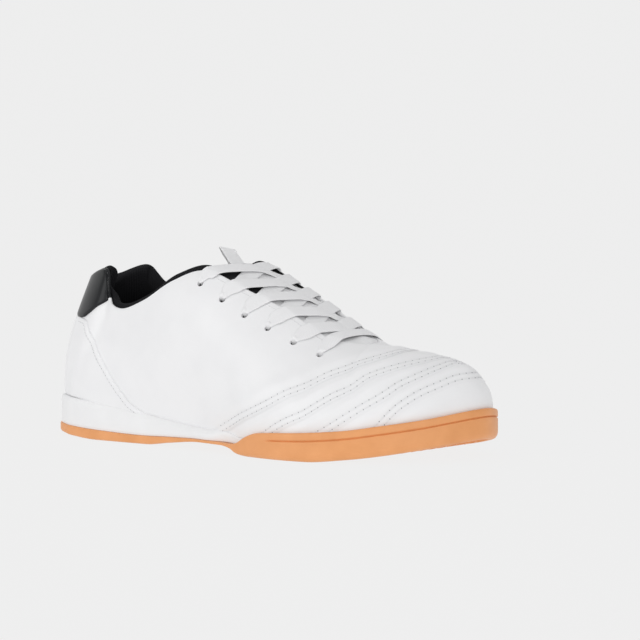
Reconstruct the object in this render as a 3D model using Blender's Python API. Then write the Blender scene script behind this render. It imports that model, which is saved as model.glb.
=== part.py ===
"""Indoor court shoe for the right foot, in metres.

+X runs to the toe, +Y to the inner (big toe) side and +Z up. The shoe stands on its sole at z = 0, with the
middle of the sole's outline over the origin.
The wall of the upper is a loft of ribs: each rib climbs from the edge of the sole to the collar, to the
edge of the throat or, in front of the throat, to the crest of the vamp.
"""

import math

import bmesh
import bpy
import numpy as np

for old in list(bpy.data.objects):
    bpy.data.objects.remove(old, do_unlink=True)

MM = 0.001  # the tables below are in millimetres, with x from the back of the heel

# Driving sizes
WALL = 0.0020  # thickness of the upper
GAP = 0.00035  # space between pieces that touch
FLARE = 0.10  # how far the wall leans out where it leaves the sole
MOUTH_LEAN = 0.13  # how far the gum cup and the midsole's lip lean out to clear the wall
CUP_WALL = 0.0030  # thickness of the gum wall around the forefoot
LIP_WALL = 0.0034  # thickness of the midsole's lip around the heel
MIDSOLE_STEP = 0.0009  # how far the midsole's side stands inside the gum edge
GROOVE_DEPTH = 0.0009  # line around the forefoot wall
EDGE_ROUND = 0.0007  # rounding of the sole's long edges
MIDSOLE_TURN = (0.136, 0.154)  # from here to here the midsole's side slips inside the cup
FEATHER_TURN = (0.155, 0.175)  # from here to here the upper moves from the lip to the cup
GROOVE_TURN = (0.178, 0.196)  # from here to here the groove deepens
TREAD_INSET = 0.0060  # from the sole's edge to its flat underside
INSOLE_THICK = 0.0040
INSOLE_PLAY = 0.0008  # space between insole and upper
OVERLAY_THICK = 0.0012
LINING_DEPTH = 0.0055  # padding of the collar at its thickest
TONGUE_THICK = 0.0032
TONGUE_CLEAR = 0.0009  # space between the tongue and the wall over it
EYELET_RADIUS = 0.0019
EYELET_FACETS = 8
LACE_WIDTH = 0.0090
LACE_THICK = 0.0013
LACE_OVER = 0.00155  # middle of a lace above the wall that it lies on
LACE_UNDER = -0.0012  # middle of a lace where it goes below the edge of the throat
LACE_HUMP, BAR_HUMP = 0.0009, 0.0021  # how far one lace climbs over the other, and the bar over a pair
LACE_BEVEL = 0.86  # share of a lace's width that is flat
LACE_FROM, LACE_TO = -0.94, 0.90  # ends of a crossing lace: -1 at its eyelet, 0 and 1 at the throat's edges
END_UNDER, END_HIDDEN = -0.0013, (8.55, 8.30, 8.05)  # start of the free end, under the top crossing
LACE_DRIFT, BOW_FROM = 0.24, -0.35  # the top pair bends this far, in ribs, towards the toe; from this share on
DIVE = (0.52, 0.74)  # from here to here a lace sinks below the far edge
LAST_DIVE = (0.40, 0.62)  # the same for the pair that passes under the bar
HUMP_WIDTH, BAR_WIDTH = 0.16, 0.45  # lengths of the rise of a lace over another and of the bar

# One row for each rib, from the back of the heel to the tip of the toe.
# x, outer and inner: edge of the sole. *_top: end of the rib on that side. pitch: slope of the wall at its
# top, in degrees. foot_pull, top_pull: how far the wall keeps its direction at the sole and at the top.
RIB_COLUMNS = (
    "x", "outer", "inner",
    "outer_top_x", "outer_top_y", "outer_top_z",
    "inner_top_x", "inner_top_y", "inner_top_z",
    "pitch", "foot_pull", "top_pull",
)
RIBS = (
    (0, 0, 0, 19, 0, 89, 19, 0, 89, 62, 0.40, 0.40),
    (8, -23, 21, 25, -11.5, 92, 25, 11.5, 92, 68, 0.40, 0.40),
    (20, -31.5, 30, 42, -18.5, 95.5, 41, 18.5, 96, 74, 0.40, 0.40),
    (30, -34.2, 33, 46.5, -21.5, 80.5, 47, 21.5, 86, 76, 0.40, 0.40),
    (42, -35.6, 34.5, 52, -24.5, 75.3, 54, 24, 79, 78, 0.40, 0.40),
    (65, -36, 34, 64, -27, 74, 67, 26.5, 76, 78, 0.40, 0.40),
    (95, -36, 30.5, 83, -29.5, 80, 85, 28.5, 80.5, 74, 0.40, 0.38),
    (125, -39, 28.5, 104, -29, 91, 105, 28.5, 91, 62, 0.38, 0.36),
    (150, -44, 32.5, 125, -24.5, 97, 126, 27, 97, 42, 0.38, 0.34),
    (175, -49.5, 40.5, 151, -20.5, 87.2, 151, 25, 87.6, 36, 0.38, 0.34),
    (195, -52, 47, 178, -17.5, 76.3, 178, 21.5, 76.3, 33, 0.40, 0.36),
    (215, -51, 50, 206, -13.5, 61.8, 208, 17.5, 61.8, 26, 0.44, 0.42),
    (235, -46, 50.5, 222, 2, 59, 222, 2, 59, 4, 0.50, 0.52),
    (252, -38, 48.5, 236, 4, 57, 236, 4, 57, 2, 0.56, 0.58),
    (268, -25, 43.5, 248, 6.5, 55, 248, 6.5, 55, 3, 0.60, 0.62),
    (280, -8, 35, 260, 9.5, 53.2, 260, 9.5, 53.2, 6, 0.64, 0.64),
    (288, 14, 14, 269, 12, 51.4, 269, 12, 51.4, 9, 0.66, 0.66),
)
THROAT_TOP, THROAT_FRONT = 8, 12  # the ribs at the two ends of the throat

# Heights along the sole. ground: underside. gum_top: edge of the gum. gum_floor: gum inside the cup.
# lip_top: edge of the midsole. footbed: top of the midsole under the foot.
SOLE_COLUMNS = ("x", "ground", "gum_top", "gum_floor", "lip_top", "footbed")
SOLE = (
    (0, 3.8, 8.6, 8.6, 24.0, 18.6),
    (12, 2.4, 7.6, 7.6, 23.6, 18.4),
    (28, 1.0, 6.8, 6.8, 22.6, 17.9),
    (48, 0.0, 5.9, 5.9, 21.0, 17.0),
    (86, 0.0, 4.9, 4.9, 16.6, 13.8),
    (104, 1.9, 5.4, 5.4, 14.2, 12.0),
    (132, 4.3, 6.0, 6.0, 12.0, 10.2),
    (152, 4.4, 6.0, 6.0, 11.6, 9.6),
    (160, 3.4, 5.9, 5.9, 10.6, 9.4),
    (166, 0.8, 6.8, 5.0, 9.4, 9.2),
    (174, 0.0, 10.6, 4.6, 9.2, 9.1),
    (184, 0.0, 13.4, 4.5, 9.1, 9.0),
    (216, 0.0, 15.4, 4.5, 9.1, 9.0),
    (238, 1.8, 17.2, 6.3, 10.9, 10.8),
    (256, 4.2, 20.0, 8.8, 13.4, 13.3),
    (272, 7.4, 22.8, 12.0, 16.6, 16.5),
    (288, 11.4, 27.4, 16.0, 20.6, 20.5),
)

# Side of the outsole from the ground to its edge.
# inset: in from the outline. share: of the height of the gum wall. groove: 1 where the groove cuts in.
SOLE_SIDE = (
    (0.0014, 0.06, 0), (0.0, 0.30, 0), (0.0, 0.67, 0), (0.0, 0.71, 1), (0.0, 0.75, 0), (0.0, 0.95, 0),
    (EDGE_ROUND, 1.0, 0),
)

# Where seams and holes lie on the wall. ring counts rows of the rib table from the heel.
# ring, height of the tab's lower edge
TAB = ((0, 71.0), (0.7, 70.2), (1.42, 68.9), (1.8, 69.4), (2.05, 72.4), (2.35, 76.6), (2.7, 79.0))
# ring, height of the counter's upper edge
COUNTER = (
    (0, 70.2), (0.7, 69.4), (1.42, 68.1), (1.78, 67.2), (2.6, 59.2), (3.82, 50.2),
    (4.48, 41.8), (4.78, 35.2), (5.08, 27.8), (5.3, 22.0), (5.6, 18.4),
)
# ring, how far the padded edge stands above the upper
COLLAR = ((0, 1.6), (1, 2.4), (2, 3.4), (3, 5.0), (4, 5.5), (5, 4.4), (6, 3.4), (7, 3.4), (7.7, 3.6))
# ring, share of the wall's height
EYELETS = ((8.02, 0.875), (8.62, 0.81), (9.20, 0.775), (9.80, 0.76), (10.40, 0.765), (10.98, 0.78))
# ring, how strongly the tongue and laces arch between the edges of the throat
CREST = ((7.7, 0.10), (8, 0.12), (8.5, 0.12), (9, 0.11), (10, 0.11), (11, 0.12), (12, 0.16), (14, 0.20))
# ring, share of a rib that the tongue reaches under the throat's edge
TONGUE_REACH = ((7.9, 0.001), (8.1, 0.01), (8.9, 0.10), (13.4, 0.13))
# share of the wall's height, of the rise above its edge and of the padding
LINING_SECTION = (
    (0.50, 0.0, 0.0), (0.68, 0.0, 0.0), (0.86, 0.0, 0.0), (1.0, 0.0, 0.0), (1.0, 0.7, 0.10), (1.0, 1.0, 0.45),
    (1.0, 0.6, 0.90), (1.0, 0.0, 1.0), (0.85, 0.0, 1.0), (0.68, 0.0, 0.70), (0.50, 0.0, 0.28),
)
# x, y, z of the free end of the lace where it leaves the tongue, folds over and drops into the shoe
END_GUIDE = (
    (121.8, 2.6, 102), (118.2, 2.4, 106), (115.9, 2.9, 107.3), (115.8, 4.2, 105.4), (117.2, 5.8, 102),
    (118, 7.2, 96.5), (117.8, 7.8, 90), (117.4, 8, 84), (117, 8, 77),
)

RIB_STEPS = 3  # facets between two rows of the rib table
WALL_STEPS = 8  # facets up the wall
COUNTER_REACH, COUNTER_ROWS = 5.34, 5
TAB_REACH, TAB_ROWS = 2.67, 5
LINING_END, LINING_LOOPS = 7.7, 35
TONGUE_TOP, TONGUE_END = 7.9, 13.4
TONGUE_ROWS, TONGUE_FACETS = 18, 10
LACE_FACETS = 9
END_FACETS = 20


def smooth_steps(xs, ys, x):
    """A curve through the points that never overshoots them."""
    xs, ys, x = (np.asarray(values, float) for values in (xs, ys, x))
    slopes = np.diff(ys) / np.diff(xs)
    same_way = slopes[:-1] * slopes[1:] > 0
    inner = np.where(same_way, 2 * slopes[:-1] * slopes[1:] / (slopes[:-1] + slopes[1:] + 1e-30), 0.0)
    tangents = np.concatenate([slopes[:1], inner, slopes[-1:]])
    i = np.clip(np.searchsorted(xs, x) - 1, 0, len(xs) - 2)
    width = xs[i + 1] - xs[i]
    t = np.clip((x - xs[i]) / width, 0.0, 1.0)
    start = (1 + 2 * t) * (1 - t) ** 2 * ys[i] + t * (1 - t) ** 2 * width * tangents[i]
    end = t * t * (3 - 2 * t) * ys[i + 1] + t * t * (t - 1) * width * tangents[i + 1]
    return start + end


def ease(x, turn):
    """0 before turn, 1 after it and smooth between."""
    t = np.clip((np.asarray(x) - turn[0]) / (turn[1] - turn[0]), 0.0, 1.0)
    return t * t * (3 - 2 * t)


def bell(x, width):
    """1 at 0 and falling off smoothly on both sides."""
    return math.exp(-((x / width) ** 2))


def height(column, x):
    """A height of the sole at x, in metres."""
    table = np.array(SOLE, float) * MM
    return smooth_steps(table[:, 0], table[:, SOLE_COLUMNS.index(column)], x)


def ring_of(outer, inner):
    """A column of the rib table as one closed ring: heel, outer side, toe, inner side."""
    table = np.array(RIBS, float)
    down = table[:, RIB_COLUMNS.index(outer)]
    back = table[-2:0:-1, RIB_COLUMNS.index(inner)]
    return np.concatenate([down, back])


RING = 2 * (len(RIBS) - 1)  # rows around the whole shoe
TOE = len(RIBS) - 1
EDGE = np.stack([ring_of("x", "x"), ring_of("outer", "inner")], 1) * MM
TOP = np.stack(
    [
        ring_of("outer_top_x", "inner_top_x"),
        ring_of("outer_top_y", "inner_top_y"),
        ring_of("outer_top_z", "inner_top_z"),
    ],
    1,
) * MM
PITCH = np.radians(ring_of("pitch", "pitch"))
FOOT_PULL = ring_of("foot_pull", "foot_pull")
TOP_PULL = ring_of("top_pull", "top_pull")
ROUND = np.arange(RING * RIB_STEPS) / RIB_STEPS  # ring positions of the facets


def cubic(a, b, c, d, t):
    """Between b and c, on a smooth curve through four neighbours."""
    return 0.5 * (2 * b + (c - a) * t + (2 * a - 5 * b + 4 * c - d) * t**2 + (3 * b - a - 3 * c + d) * t**3)


def around(values, r):
    """A smooth closed curve through the ring's rows, at ring positions r."""
    r = np.asarray(r, float) % RING
    i = np.floor(r).astype(int)
    t = r - i
    if values.ndim > 1:
        t = t[..., None]
    return cubic(*(values[(i + k) % RING] for k in (-1, 0, 1, 2)), t)


ORIGIN = np.append(0.5 * (around(EDGE, ROUND).min(0) + around(EDGE, ROUND).max(0)), 0.0)


def sole_edge(r, inset):
    """Plan position on the sole's edge, moved inwards by inset."""
    step = 0.02
    run = around(EDGE, np.asarray(r) + step) - around(EDGE, np.asarray(r) - step)
    run = run / np.linalg.norm(run, axis=-1, keepdims=True)
    inwards = np.stack([-run[..., 1], run[..., 0]], -1)
    return around(EDGE, r) + inwards * np.asarray(inset)[..., None]


def feather_inset(x):
    """How far the upper's outer face stands inside the edge of the sole."""
    heel = MIDSOLE_STEP + LIP_WALL + GAP
    toe = CUP_WALL + GAP
    return heel + (toe - heel) * ease(x, FEATHER_TURN)


def rib_top(r):
    """Where the ribs end: the collar, the throat's edges with a round front, and the crest ahead of it."""
    top = around(TOP, r)
    crest = 0.5 * (top + around(TOP, RING - r))
    near = np.minimum(r % RING, RING - r % RING)
    top = np.where((near >= THROAT_FRONT)[..., None], crest, top)
    turn = np.clip(near - (THROAT_FRONT - 1), 0.0, 1.0) * math.pi / 2
    last = np.where((r % RING < TOE)[..., None], TOP[THROAT_FRONT - 1], TOP[RING - THROAT_FRONT + 1])
    share = np.stack([np.sin(turn), 1 - np.cos(turn), np.sin(turn)], -1)
    front = last + (TOP[THROAT_FRONT] - last) * share
    rounding = (near > THROAT_FRONT - 1) & (near < THROAT_FRONT)
    return np.where(rounding[..., None], front, top)


def rib_ends(r):
    """Foot, top and the two guide points between them, for ribs at ring positions r."""
    x = around(EDGE, r)[..., 0]
    plan = sole_edge(r, feather_inset(x))
    foot = np.concatenate([plan, (height("footbed", plan[..., 0]) + GAP)[..., None]], -1)
    top = rib_top(r)
    out = around(EDGE, r) - sole_edge(r, np.full(r.shape, MM))
    out = out / np.linalg.norm(out, axis=-1, keepdims=True)
    reach = ((foot - top)[..., :2] * out).sum(-1, keepdims=True)
    rise = (top - foot)[..., 2:]
    span = np.sqrt(reach**2 + rise**2)
    pitch = around(PITCH, r)[..., None]
    steep = np.sin(pitch)
    fall = np.concatenate([out * np.cos(pitch), -steep], -1)
    up = np.concatenate([out * FLARE, np.ones_like(rise)], -1)
    low = foot + up * rise * around(FOOT_PULL, r)[..., None]
    high = top + fall * (reach * (1 - steep) + span * steep) * around(TOP_PULL, r)[..., None]
    return foot, low, high, top, -fall, span


def wall_point(r, v):
    """The outer face of the upper at ring position r, v from the sole (0) to the top (1) and beyond."""
    r, v = np.broadcast_arrays(np.asarray(r, float), np.asarray(v, float))
    foot, low, high, top, onward, span = rib_ends(r)
    t = np.clip(v, 0.0, 1.0)[..., None]
    point = (1 - t) ** 3 * foot + 3 * t * (1 - t) ** 2 * low + 3 * t * t * (1 - t) * high + t**3 * top
    return point + onward * span * np.clip(v - 1.0, 0.0, None)[..., None]


def wall_normal(r, v):
    """Outward normal of the upper's outer face."""
    r, v = np.broadcast_arrays(np.asarray(r, float), np.asarray(v, float))
    dr, dv = 0.05, 0.02
    v = np.clip(v, 0.0, 1.0 - dv)
    along = wall_point(r + dr, v) - wall_point(r - dr, v)
    up = wall_point(r, np.minimum(v + dv, 1.0)) - wall_point(r, np.maximum(v - dv, 0.0))
    normal = np.cross(along, up)
    return normal / np.linalg.norm(normal, axis=-1, keepdims=True)


def wall_offset(r, v, out):
    """The outer face of the upper moved outwards by out."""
    return wall_point(r, v) + wall_normal(r, v) * np.asarray(out)[..., None]


def level(r, z):
    """How far up the wall it reaches height z."""
    r, z = np.broadcast_arrays(np.asarray(r, float), np.asarray(z, float))
    low, high = np.zeros(r.shape), np.ones(r.shape)
    for _ in range(24):
        middle = 0.5 * (low + high)
        below = wall_point(r, middle)[..., 2] < z
        low, high = np.where(below, middle, low), np.where(below, high, middle)
    return 0.5 * (low + high)


def from_table(rows, r):
    """Second column of a seam table at ring positions r, the same on both sides of the shoe."""
    table = np.array(rows, float)
    near = np.minimum(np.asarray(r) % RING, RING - np.asarray(r) % RING)
    return smooth_steps(table[:, 0], table[:, 1], near)


def over_instep(k, out, q, v_edge):
    """Points over the instep at ring position k.

    q is -1 at v_edge on the outer side, 0 and 1 at the edges of the throat and 2 at v_edge on the inner side.
    """
    q = np.asarray(q, float)
    rise = wall_offset(np.array([k, RING - k]), np.ones(2), np.full(2, out))
    onward = rib_ends(np.array([k, RING - k]))[4]
    pull = from_table(CREST, k) * np.linalg.norm(rise[1] - rise[0])
    a, b = rise + onward * pull
    t = np.clip(q, 0.0, 1.0)[:, None]
    arch = (1 - t) ** 3 * rise[0] + 3 * t * (1 - t) ** 2 * a + 3 * t * t * (1 - t) * b + t**3 * rise[1]
    share = np.clip(np.where(q < 0.5, -q, q - 1.0), 0.0, 1.0)
    side = np.where(q < 0.5, k, RING - k)
    wall = wall_offset(side, 1.0 - share * (1.0 - v_edge), np.full(q.shape, out))
    return np.where(share[:, None] > 0.0, wall, arch)


def across_throat(k, out, v_edge, count):
    """Evenly spaced points over the instep at ring position k, from the outer side to the inner one."""
    path = over_instep(k, out, np.linspace(-1.0, 2.0, 46), v_edge)
    steps = np.linalg.norm(np.diff(path, axis=0), axis=1)
    run = np.concatenate([[0.0], np.cumsum(steps)])
    return np.stack([np.interp(np.linspace(0, run[-1], count), run, path[:, i]) for i in range(3)], 1)


def finish_of(name, colour, roughness):
    material = bpy.data.materials.new(name)
    material.use_nodes = True
    shader = material.node_tree.nodes["Principled BSDF"]
    shader.inputs["Base Color"].default_value = (*colour, 1.0)
    shader.inputs["Roughness"].default_value = roughness
    shader.inputs["Metallic"].default_value = 0.0
    return material


FINISHES = {
    "gum_rubber": finish_of("gum_rubber", (0.70, 0.32, 0.13), 0.55),
    "white_foam": finish_of("white_foam", (0.82, 0.82, 0.83), 0.60),
    "white_leather": finish_of("white_leather", (0.86, 0.86, 0.87), 0.45),
    "black_patent": finish_of("black_patent", (0.010, 0.010, 0.012), 0.22),
    "black_textile": finish_of("black_textile", (0.012, 0.012, 0.014), 0.90),
    "tongue_textile": finish_of("tongue_textile", (0.55, 0.55, 0.56), 0.80),
    "lace_textile": finish_of("lace_textile", (0.80, 0.80, 0.81), 0.85),
}


def add_piece(name, finish, points, faces):
    """One closed body with its faces turned outwards."""
    mesh = bpy.data.meshes.new(name)
    mesh.from_pydata([tuple(map(float, point)) for point in points - ORIGIN], [], faces)
    shape = bmesh.new()
    shape.from_mesh(mesh)
    bmesh.ops.remove_doubles(shape, verts=shape.verts, dist=0.000002)
    bmesh.ops.recalc_face_normals(shape, faces=shape.faces)
    shape.to_mesh(mesh)
    shape.free()
    mesh.shade_smooth()
    mesh.set_sharp_from_angle(angle=math.radians(40))
    mesh.materials.append(FINISHES[finish])
    piece = bpy.data.objects.new(name, mesh)
    bpy.context.scene.collection.objects.link(piece)
    return piece


def closed_rings(rings):
    """Points and faces of a body whose rings run around the shoe, from its floor to its top."""
    count = len(rings[0])
    points = np.concatenate(rings)
    faces = []
    for low in range(len(rings) - 1):
        for i in range(count):
            j = (i + 1) % count
            a, b = low * count, (low + 1) * count
            faces.append((a + i, a + j, b + j, b + i))
    for start in (0, (len(rings) - 1) * count):
        for i in range(count // 2):
            corners = (start + i, start + i + 1, start + (count - i - 1) % count, start + (count - i) % count)
            faces.append(tuple(dict.fromkeys(corners)))
    return points, faces


def swept_loops(loops):
    """Points and faces of a body swept through closed loops, with its two ends filled."""
    count = len(loops[0])
    points = np.concatenate(loops)
    faces = []
    for k in range(len(loops) - 1):
        for i in range(count):
            j = (i + 1) % count
            a, b = k * count, (k + 1) * count
            faces.append((a + i, a + j, b + j, b + i))
    faces.append(tuple(range(count)))
    faces.append(tuple(range((len(loops) - 1) * count, len(loops) * count)))
    return points, faces


def two_faced(outer, inner):
    """Points and faces of a sheet with thickness, from its two faces as grids."""
    rows, columns = outer.shape[:2]
    loops = []
    for k in range(rows):
        loops.append(np.concatenate([outer[k], inner[k][::-1]]))
    points = np.concatenate(loops)
    width = 2 * columns
    faces = []
    for k in range(rows - 1):
        for i in range(width):
            j = (i + 1) % width
            faces.append((k * width + i, k * width + j, (k + 1) * width + j, (k + 1) * width + i))
    for k in (0, rows - 1):
        for i in range(columns - 1):
            faces.append((k * width + i, k * width + i + 1, (k + 1) * width - i - 2, (k + 1) * width - i - 1))
    return points, faces


def sole_ring(inset, z_of):
    """A ring around the sole, moved in by inset and lifted to z_of(x)."""
    x = around(EDGE, ROUND)[:, 0]
    plan = sole_edge(ROUND, inset(x) if callable(inset) else np.full(x.shape, inset))
    return np.concatenate([plan, z_of(plan[:, 0])[:, None]], 1)


def midsole_inset(x):
    """The midsole's side follows the gum edge at the heel and slips inside the cup in front."""
    return MIDSOLE_STEP + (CUP_WALL + GAP - MIDSOLE_STEP) * ease(x, MIDSOLE_TURN)


def build_outsole():
    def side(share):
        return lambda x: height("ground", x) + share * (height("gum_top", x) - height("ground", x))

    def side_inset(inset, cut):
        return lambda x: inset + cut * GROOVE_DEPTH * ease(x, GROOVE_TURN)

    def cup_mouth(x):
        return CUP_WALL - MOUTH_LEAN * np.clip(height("gum_top", x) - height("footbed", x), 0, None)

    rings = [sole_ring(TREAD_INSET, lambda x: height("ground", x))]
    for inset, share, cut in SOLE_SIDE:
        rings.append(sole_ring(side_inset(inset, cut), side(share)))
    rings.append(sole_ring(cup_mouth, side(1.0)))
    rings.append(sole_ring(CUP_WALL, lambda x: np.minimum(height("footbed", x), height("gum_top", x))))
    rings.append(sole_ring(CUP_WALL + GAP / 2, lambda x: height("gum_floor", x)))
    add_piece("outsole", "gum_rubber", *closed_rings(rings))


def build_midsole():
    def wall_inset(more):
        return lambda x: midsole_inset(x) + more

    def lip_foot(x):
        return np.maximum(feather_inset(x) - GAP, midsole_inset(x) + EDGE_ROUND)

    def lip_mouth(x):
        return lip_foot(x) - MOUTH_LEAN * np.clip(height("lip_top", x) - height("footbed", x), 0, None)

    base = GAP + EDGE_ROUND
    rings = [
        sole_ring(wall_inset(EDGE_ROUND), lambda x: height("gum_floor", x) + GAP),
        sole_ring(midsole_inset, lambda x: height("gum_floor", x) + base),
        sole_ring(midsole_inset, lambda x: height("lip_top", x) - EDGE_ROUND),
        sole_ring(wall_inset(EDGE_ROUND / 2), lambda x: height("lip_top", x)),
        sole_ring(lip_mouth, lambda x: height("lip_top", x)),
        sole_ring(lip_foot, lambda x: height("footbed", x)),
    ]
    add_piece("midsole", "white_foam", *closed_rings(rings))


def build_insole():
    def edge_inset(x):
        return feather_inset(x) + WALL + INSOLE_PLAY

    def lifted(z):
        return lambda x: height("footbed", x) + 2 * GAP + z

    rings = [
        sole_ring(edge_inset, lifted(0.0)),
        sole_ring(edge_inset, lifted(INSOLE_THICK - EDGE_ROUND)),
        sole_ring(lambda x: edge_inset(x) + EDGE_ROUND, lifted(INSOLE_THICK)),
    ]
    add_piece("insole", "black_textile", *closed_rings(rings))


def combine(piece, operation, other):
    """Cut another body out of a piece or join it to the piece."""
    other.hide_render = True
    other.display_type = "WIRE"
    step = piece.modifiers.new(other.name, "BOOLEAN")
    step.operation = operation
    step.solver = "EXACT"
    step.object = other


def eyelet_punch():
    """One short round punch through the wall for each eyelet."""
    angles = np.arange(EYELET_FACETS) * math.tau / EYELET_FACETS
    points, faces = [], []
    for ring, v in EYELETS:
        for r in (ring, RING - ring):
            centre = wall_point(r, v)
            normal = wall_normal(r, v)
            side = np.cross(normal, (0.0, 0.0, 1.0))
            side = side / np.linalg.norm(side)
            spokes = np.cos(angles)[:, None] * side + np.sin(angles)[:, None] * np.cross(side, normal)
            loops = [centre + spokes * EYELET_RADIUS + normal * reach for reach in (-2 * WALL, WALL)]
            hole_points, hole_faces = swept_loops(loops)
            faces += [tuple(k + len(points) for k in face) for face in hole_faces]
            points += list(hole_points)
    return add_piece("eyelet_punch", "white_leather", np.array(points), faces)


def build_upper():
    r, v = np.meshgrid(ROUND, np.linspace(0.0, 1.0, WALL_STEPS + 1), indexing="ij")
    outer = wall_point(r, v)
    normal = wall_normal(r, v)
    mirrored = normal[(-np.arange(len(ROUND))) % len(ROUND)]
    zipped = (ROUND >= THROAT_FRONT) & (ROUND <= RING - THROAT_FRONT)
    crest = normal[:, -1] + mirrored[:, -1]
    crest = crest / np.linalg.norm(crest, axis=-1, keepdims=True)
    normal[zipped, -1] = crest[zipped]
    inner = outer - normal * WALL
    count, rows = len(ROUND), WALL_STEPS + 1
    points = np.concatenate([outer.reshape(-1, 3), inner.reshape(-1, 3)])
    inside = count * rows

    def corner(i, j):
        i = i % count
        if j == rows - 1 and zipped[i] and i > count // 2:
            i = count - i
        return i * rows + j

    faces = []
    for i in range(count):
        for j in range(rows - 1):
            quad = (corner(i, j), corner(i + 1, j), corner(i + 1, j + 1), corner(i, j + 1))
            faces.append(quad)
            faces.append(tuple(inside + k for k in reversed(quad)))
        low = (corner(i, 0), corner(i + 1, 0))
        faces.append((low[1], low[0], inside + low[0], inside + low[1]))
        if not (zipped[i] and zipped[(i + 1) % count]):
            top = (corner(i, rows - 1), corner(i + 1, rows - 1))
            faces.append((top[0], top[1], inside + top[1], inside + top[0]))
    used = sorted({k for face in faces for k in face})
    place = {k: n for n, k in enumerate(used)}
    faces = [tuple(place[k] for k in face) for face in faces]
    upper = add_piece("upper", "white_leather", points[used], faces)
    combine(upper, "DIFFERENCE", eyelet_punch())


def patch(name, finish, reach, low_of, high_of, rows):
    """An overlay around the back of the heel, lying on the upper."""
    count = int(reach * RIB_STEPS)
    r = np.arange(-count, count + 1) / RIB_STEPS
    share = np.linspace(0.0, 1.0, rows)
    v = low_of(r)[:, None] + (high_of(r) - low_of(r))[:, None] * share
    r = np.broadcast_to(r[:, None], v.shape)
    outer = wall_offset(r, v, np.full(v.shape, GAP + OVERLAY_THICK))
    inner = wall_offset(r, v, np.full(v.shape, GAP))
    add_piece(name, finish, *two_faced(outer, inner))


def build_heel_counter():
    def low_of(r):
        lip = height("lip_top", wall_point(r, np.zeros(r.shape))[:, 0])
        return level(r, lip + 2 * GAP)

    def high_of(r):
        return level(r, from_table(COUNTER, r) * MM)

    patch("heel_counter", "white_leather", COUNTER_REACH, low_of, high_of, COUNTER_ROWS)


def build_heel_tab():
    def low_of(r):
        return level(r, from_table(TAB, r) * MM)

    patch("heel_tab", "black_patent", TAB_REACH, low_of, lambda r: np.ones(r.shape), TAB_ROWS)


def build_collar_lining():
    v, lift, pad = np.array(LINING_SECTION).T
    depth = WALL + GAP + pad * LINING_DEPTH
    loops = []
    for r in np.linspace(-LINING_END, LINING_END, LINING_LOOPS):
        onward = rib_ends(np.array([r]))[4][0]
        rise = from_table(COLLAR, r) * MM
        loops.append(wall_offset(np.full(v.shape, r), v, -depth) + (lift * rise)[:, None] * onward)
    add_piece("collar_lining", "black_textile", *swept_loops(loops))


def build_tongue():
    outer = []
    for k in np.linspace(TONGUE_TOP, TONGUE_END, TONGUE_ROWS):
        outer.append(across_throat(k, -WALL - TONGUE_CLEAR, 1.0 - from_table(TONGUE_REACH, k), TONGUE_FACETS + 1))
    outer = np.array(outer)
    along = np.gradient(outer, axis=0)
    over = np.gradient(outer, axis=1)
    normal = np.cross(over, along)
    normal = normal / np.linalg.norm(normal, axis=-1, keepdims=True)
    normal = normal * np.sign(normal[..., 2:].mean())
    add_piece("tongue", "tongue_textile", *two_faced(outer, outer - normal * TONGUE_THICK))


def through(points, count):
    """A smooth open path through points."""
    points = np.array(points, float)
    points = np.concatenate([2 * points[:1] - points[1:2], points, 2 * points[-1:] - points[-2:-1]])
    t = np.linspace(0, len(points) - 3, count)
    i = np.minimum(t.astype(int), len(points) - 4)
    return cubic(*(points[i + k] for k in range(4)), (t - i)[:, None])


def halved(faces):
    """Faces with four corners cut into triangles, as a twisted lace bends them."""
    cut = []
    for face in faces:
        cut += [face[:3], (face[0], face[2], face[3])] if len(face) == 4 else [face]
    return cut


def carried(path, up):
    """The direction up, carried along a path without twisting."""
    ups = []
    for run in np.gradient(path, axis=0):
        up = up - run * np.dot(up, run) / np.dot(run, run)
        ups.append(up / np.linalg.norm(up))
    return np.array(ups)


def ribbon(path, up):
    """Points and faces of a flat lace along a path, with its flat side facing up."""
    run = np.gradient(path, axis=0)
    side = np.cross(run, up)
    side = side / np.linalg.norm(side, axis=1, keepdims=True) * LACE_WIDTH / 2
    thick = np.cross(side, run)
    thick = thick / np.linalg.norm(thick, axis=1, keepdims=True) * LACE_THICK / 2
    flat = side * LACE_BEVEL
    ring = np.array([path - side, path - flat + thick, path + flat + thick, path + side, path + flat - thick,
                     path - flat - thick])
    points, faces = swept_loops(list(ring.transpose(1, 0, 2)))
    return points, halved(faces)


def lace_frame(k, out, q, v_edge):
    """A point of a lace and the direction that its flat side faces."""
    dk, dq = 0.15, 0.02
    here = over_instep(k, out, np.array([q - dq, q, q + dq]), v_edge)
    ahead = over_instep(k + dk, out, np.array([q]), v_edge) - over_instep(k - dk, out, np.array([q]), v_edge)
    return here[1], np.cross(ahead[0], here[2] - here[0])


def straight_ring(start, end, q, v_edge):
    """Ring position where a lace that runs straight from start to end, seen from above, is at q."""
    low, high = THROAT_TOP - 1, THROAT_FRONT
    run = end - start
    for _ in range(24):
        middle = 0.5 * (low + high)
        lead = over_instep(middle, 0.0, np.array([q]), v_edge)[0] - start
        ahead = run[1] * (run[1] * lead[0] - run[0] * lead[1]) > 0
        low, high = (low, middle) if ahead else (middle, high)
    return middle


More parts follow.
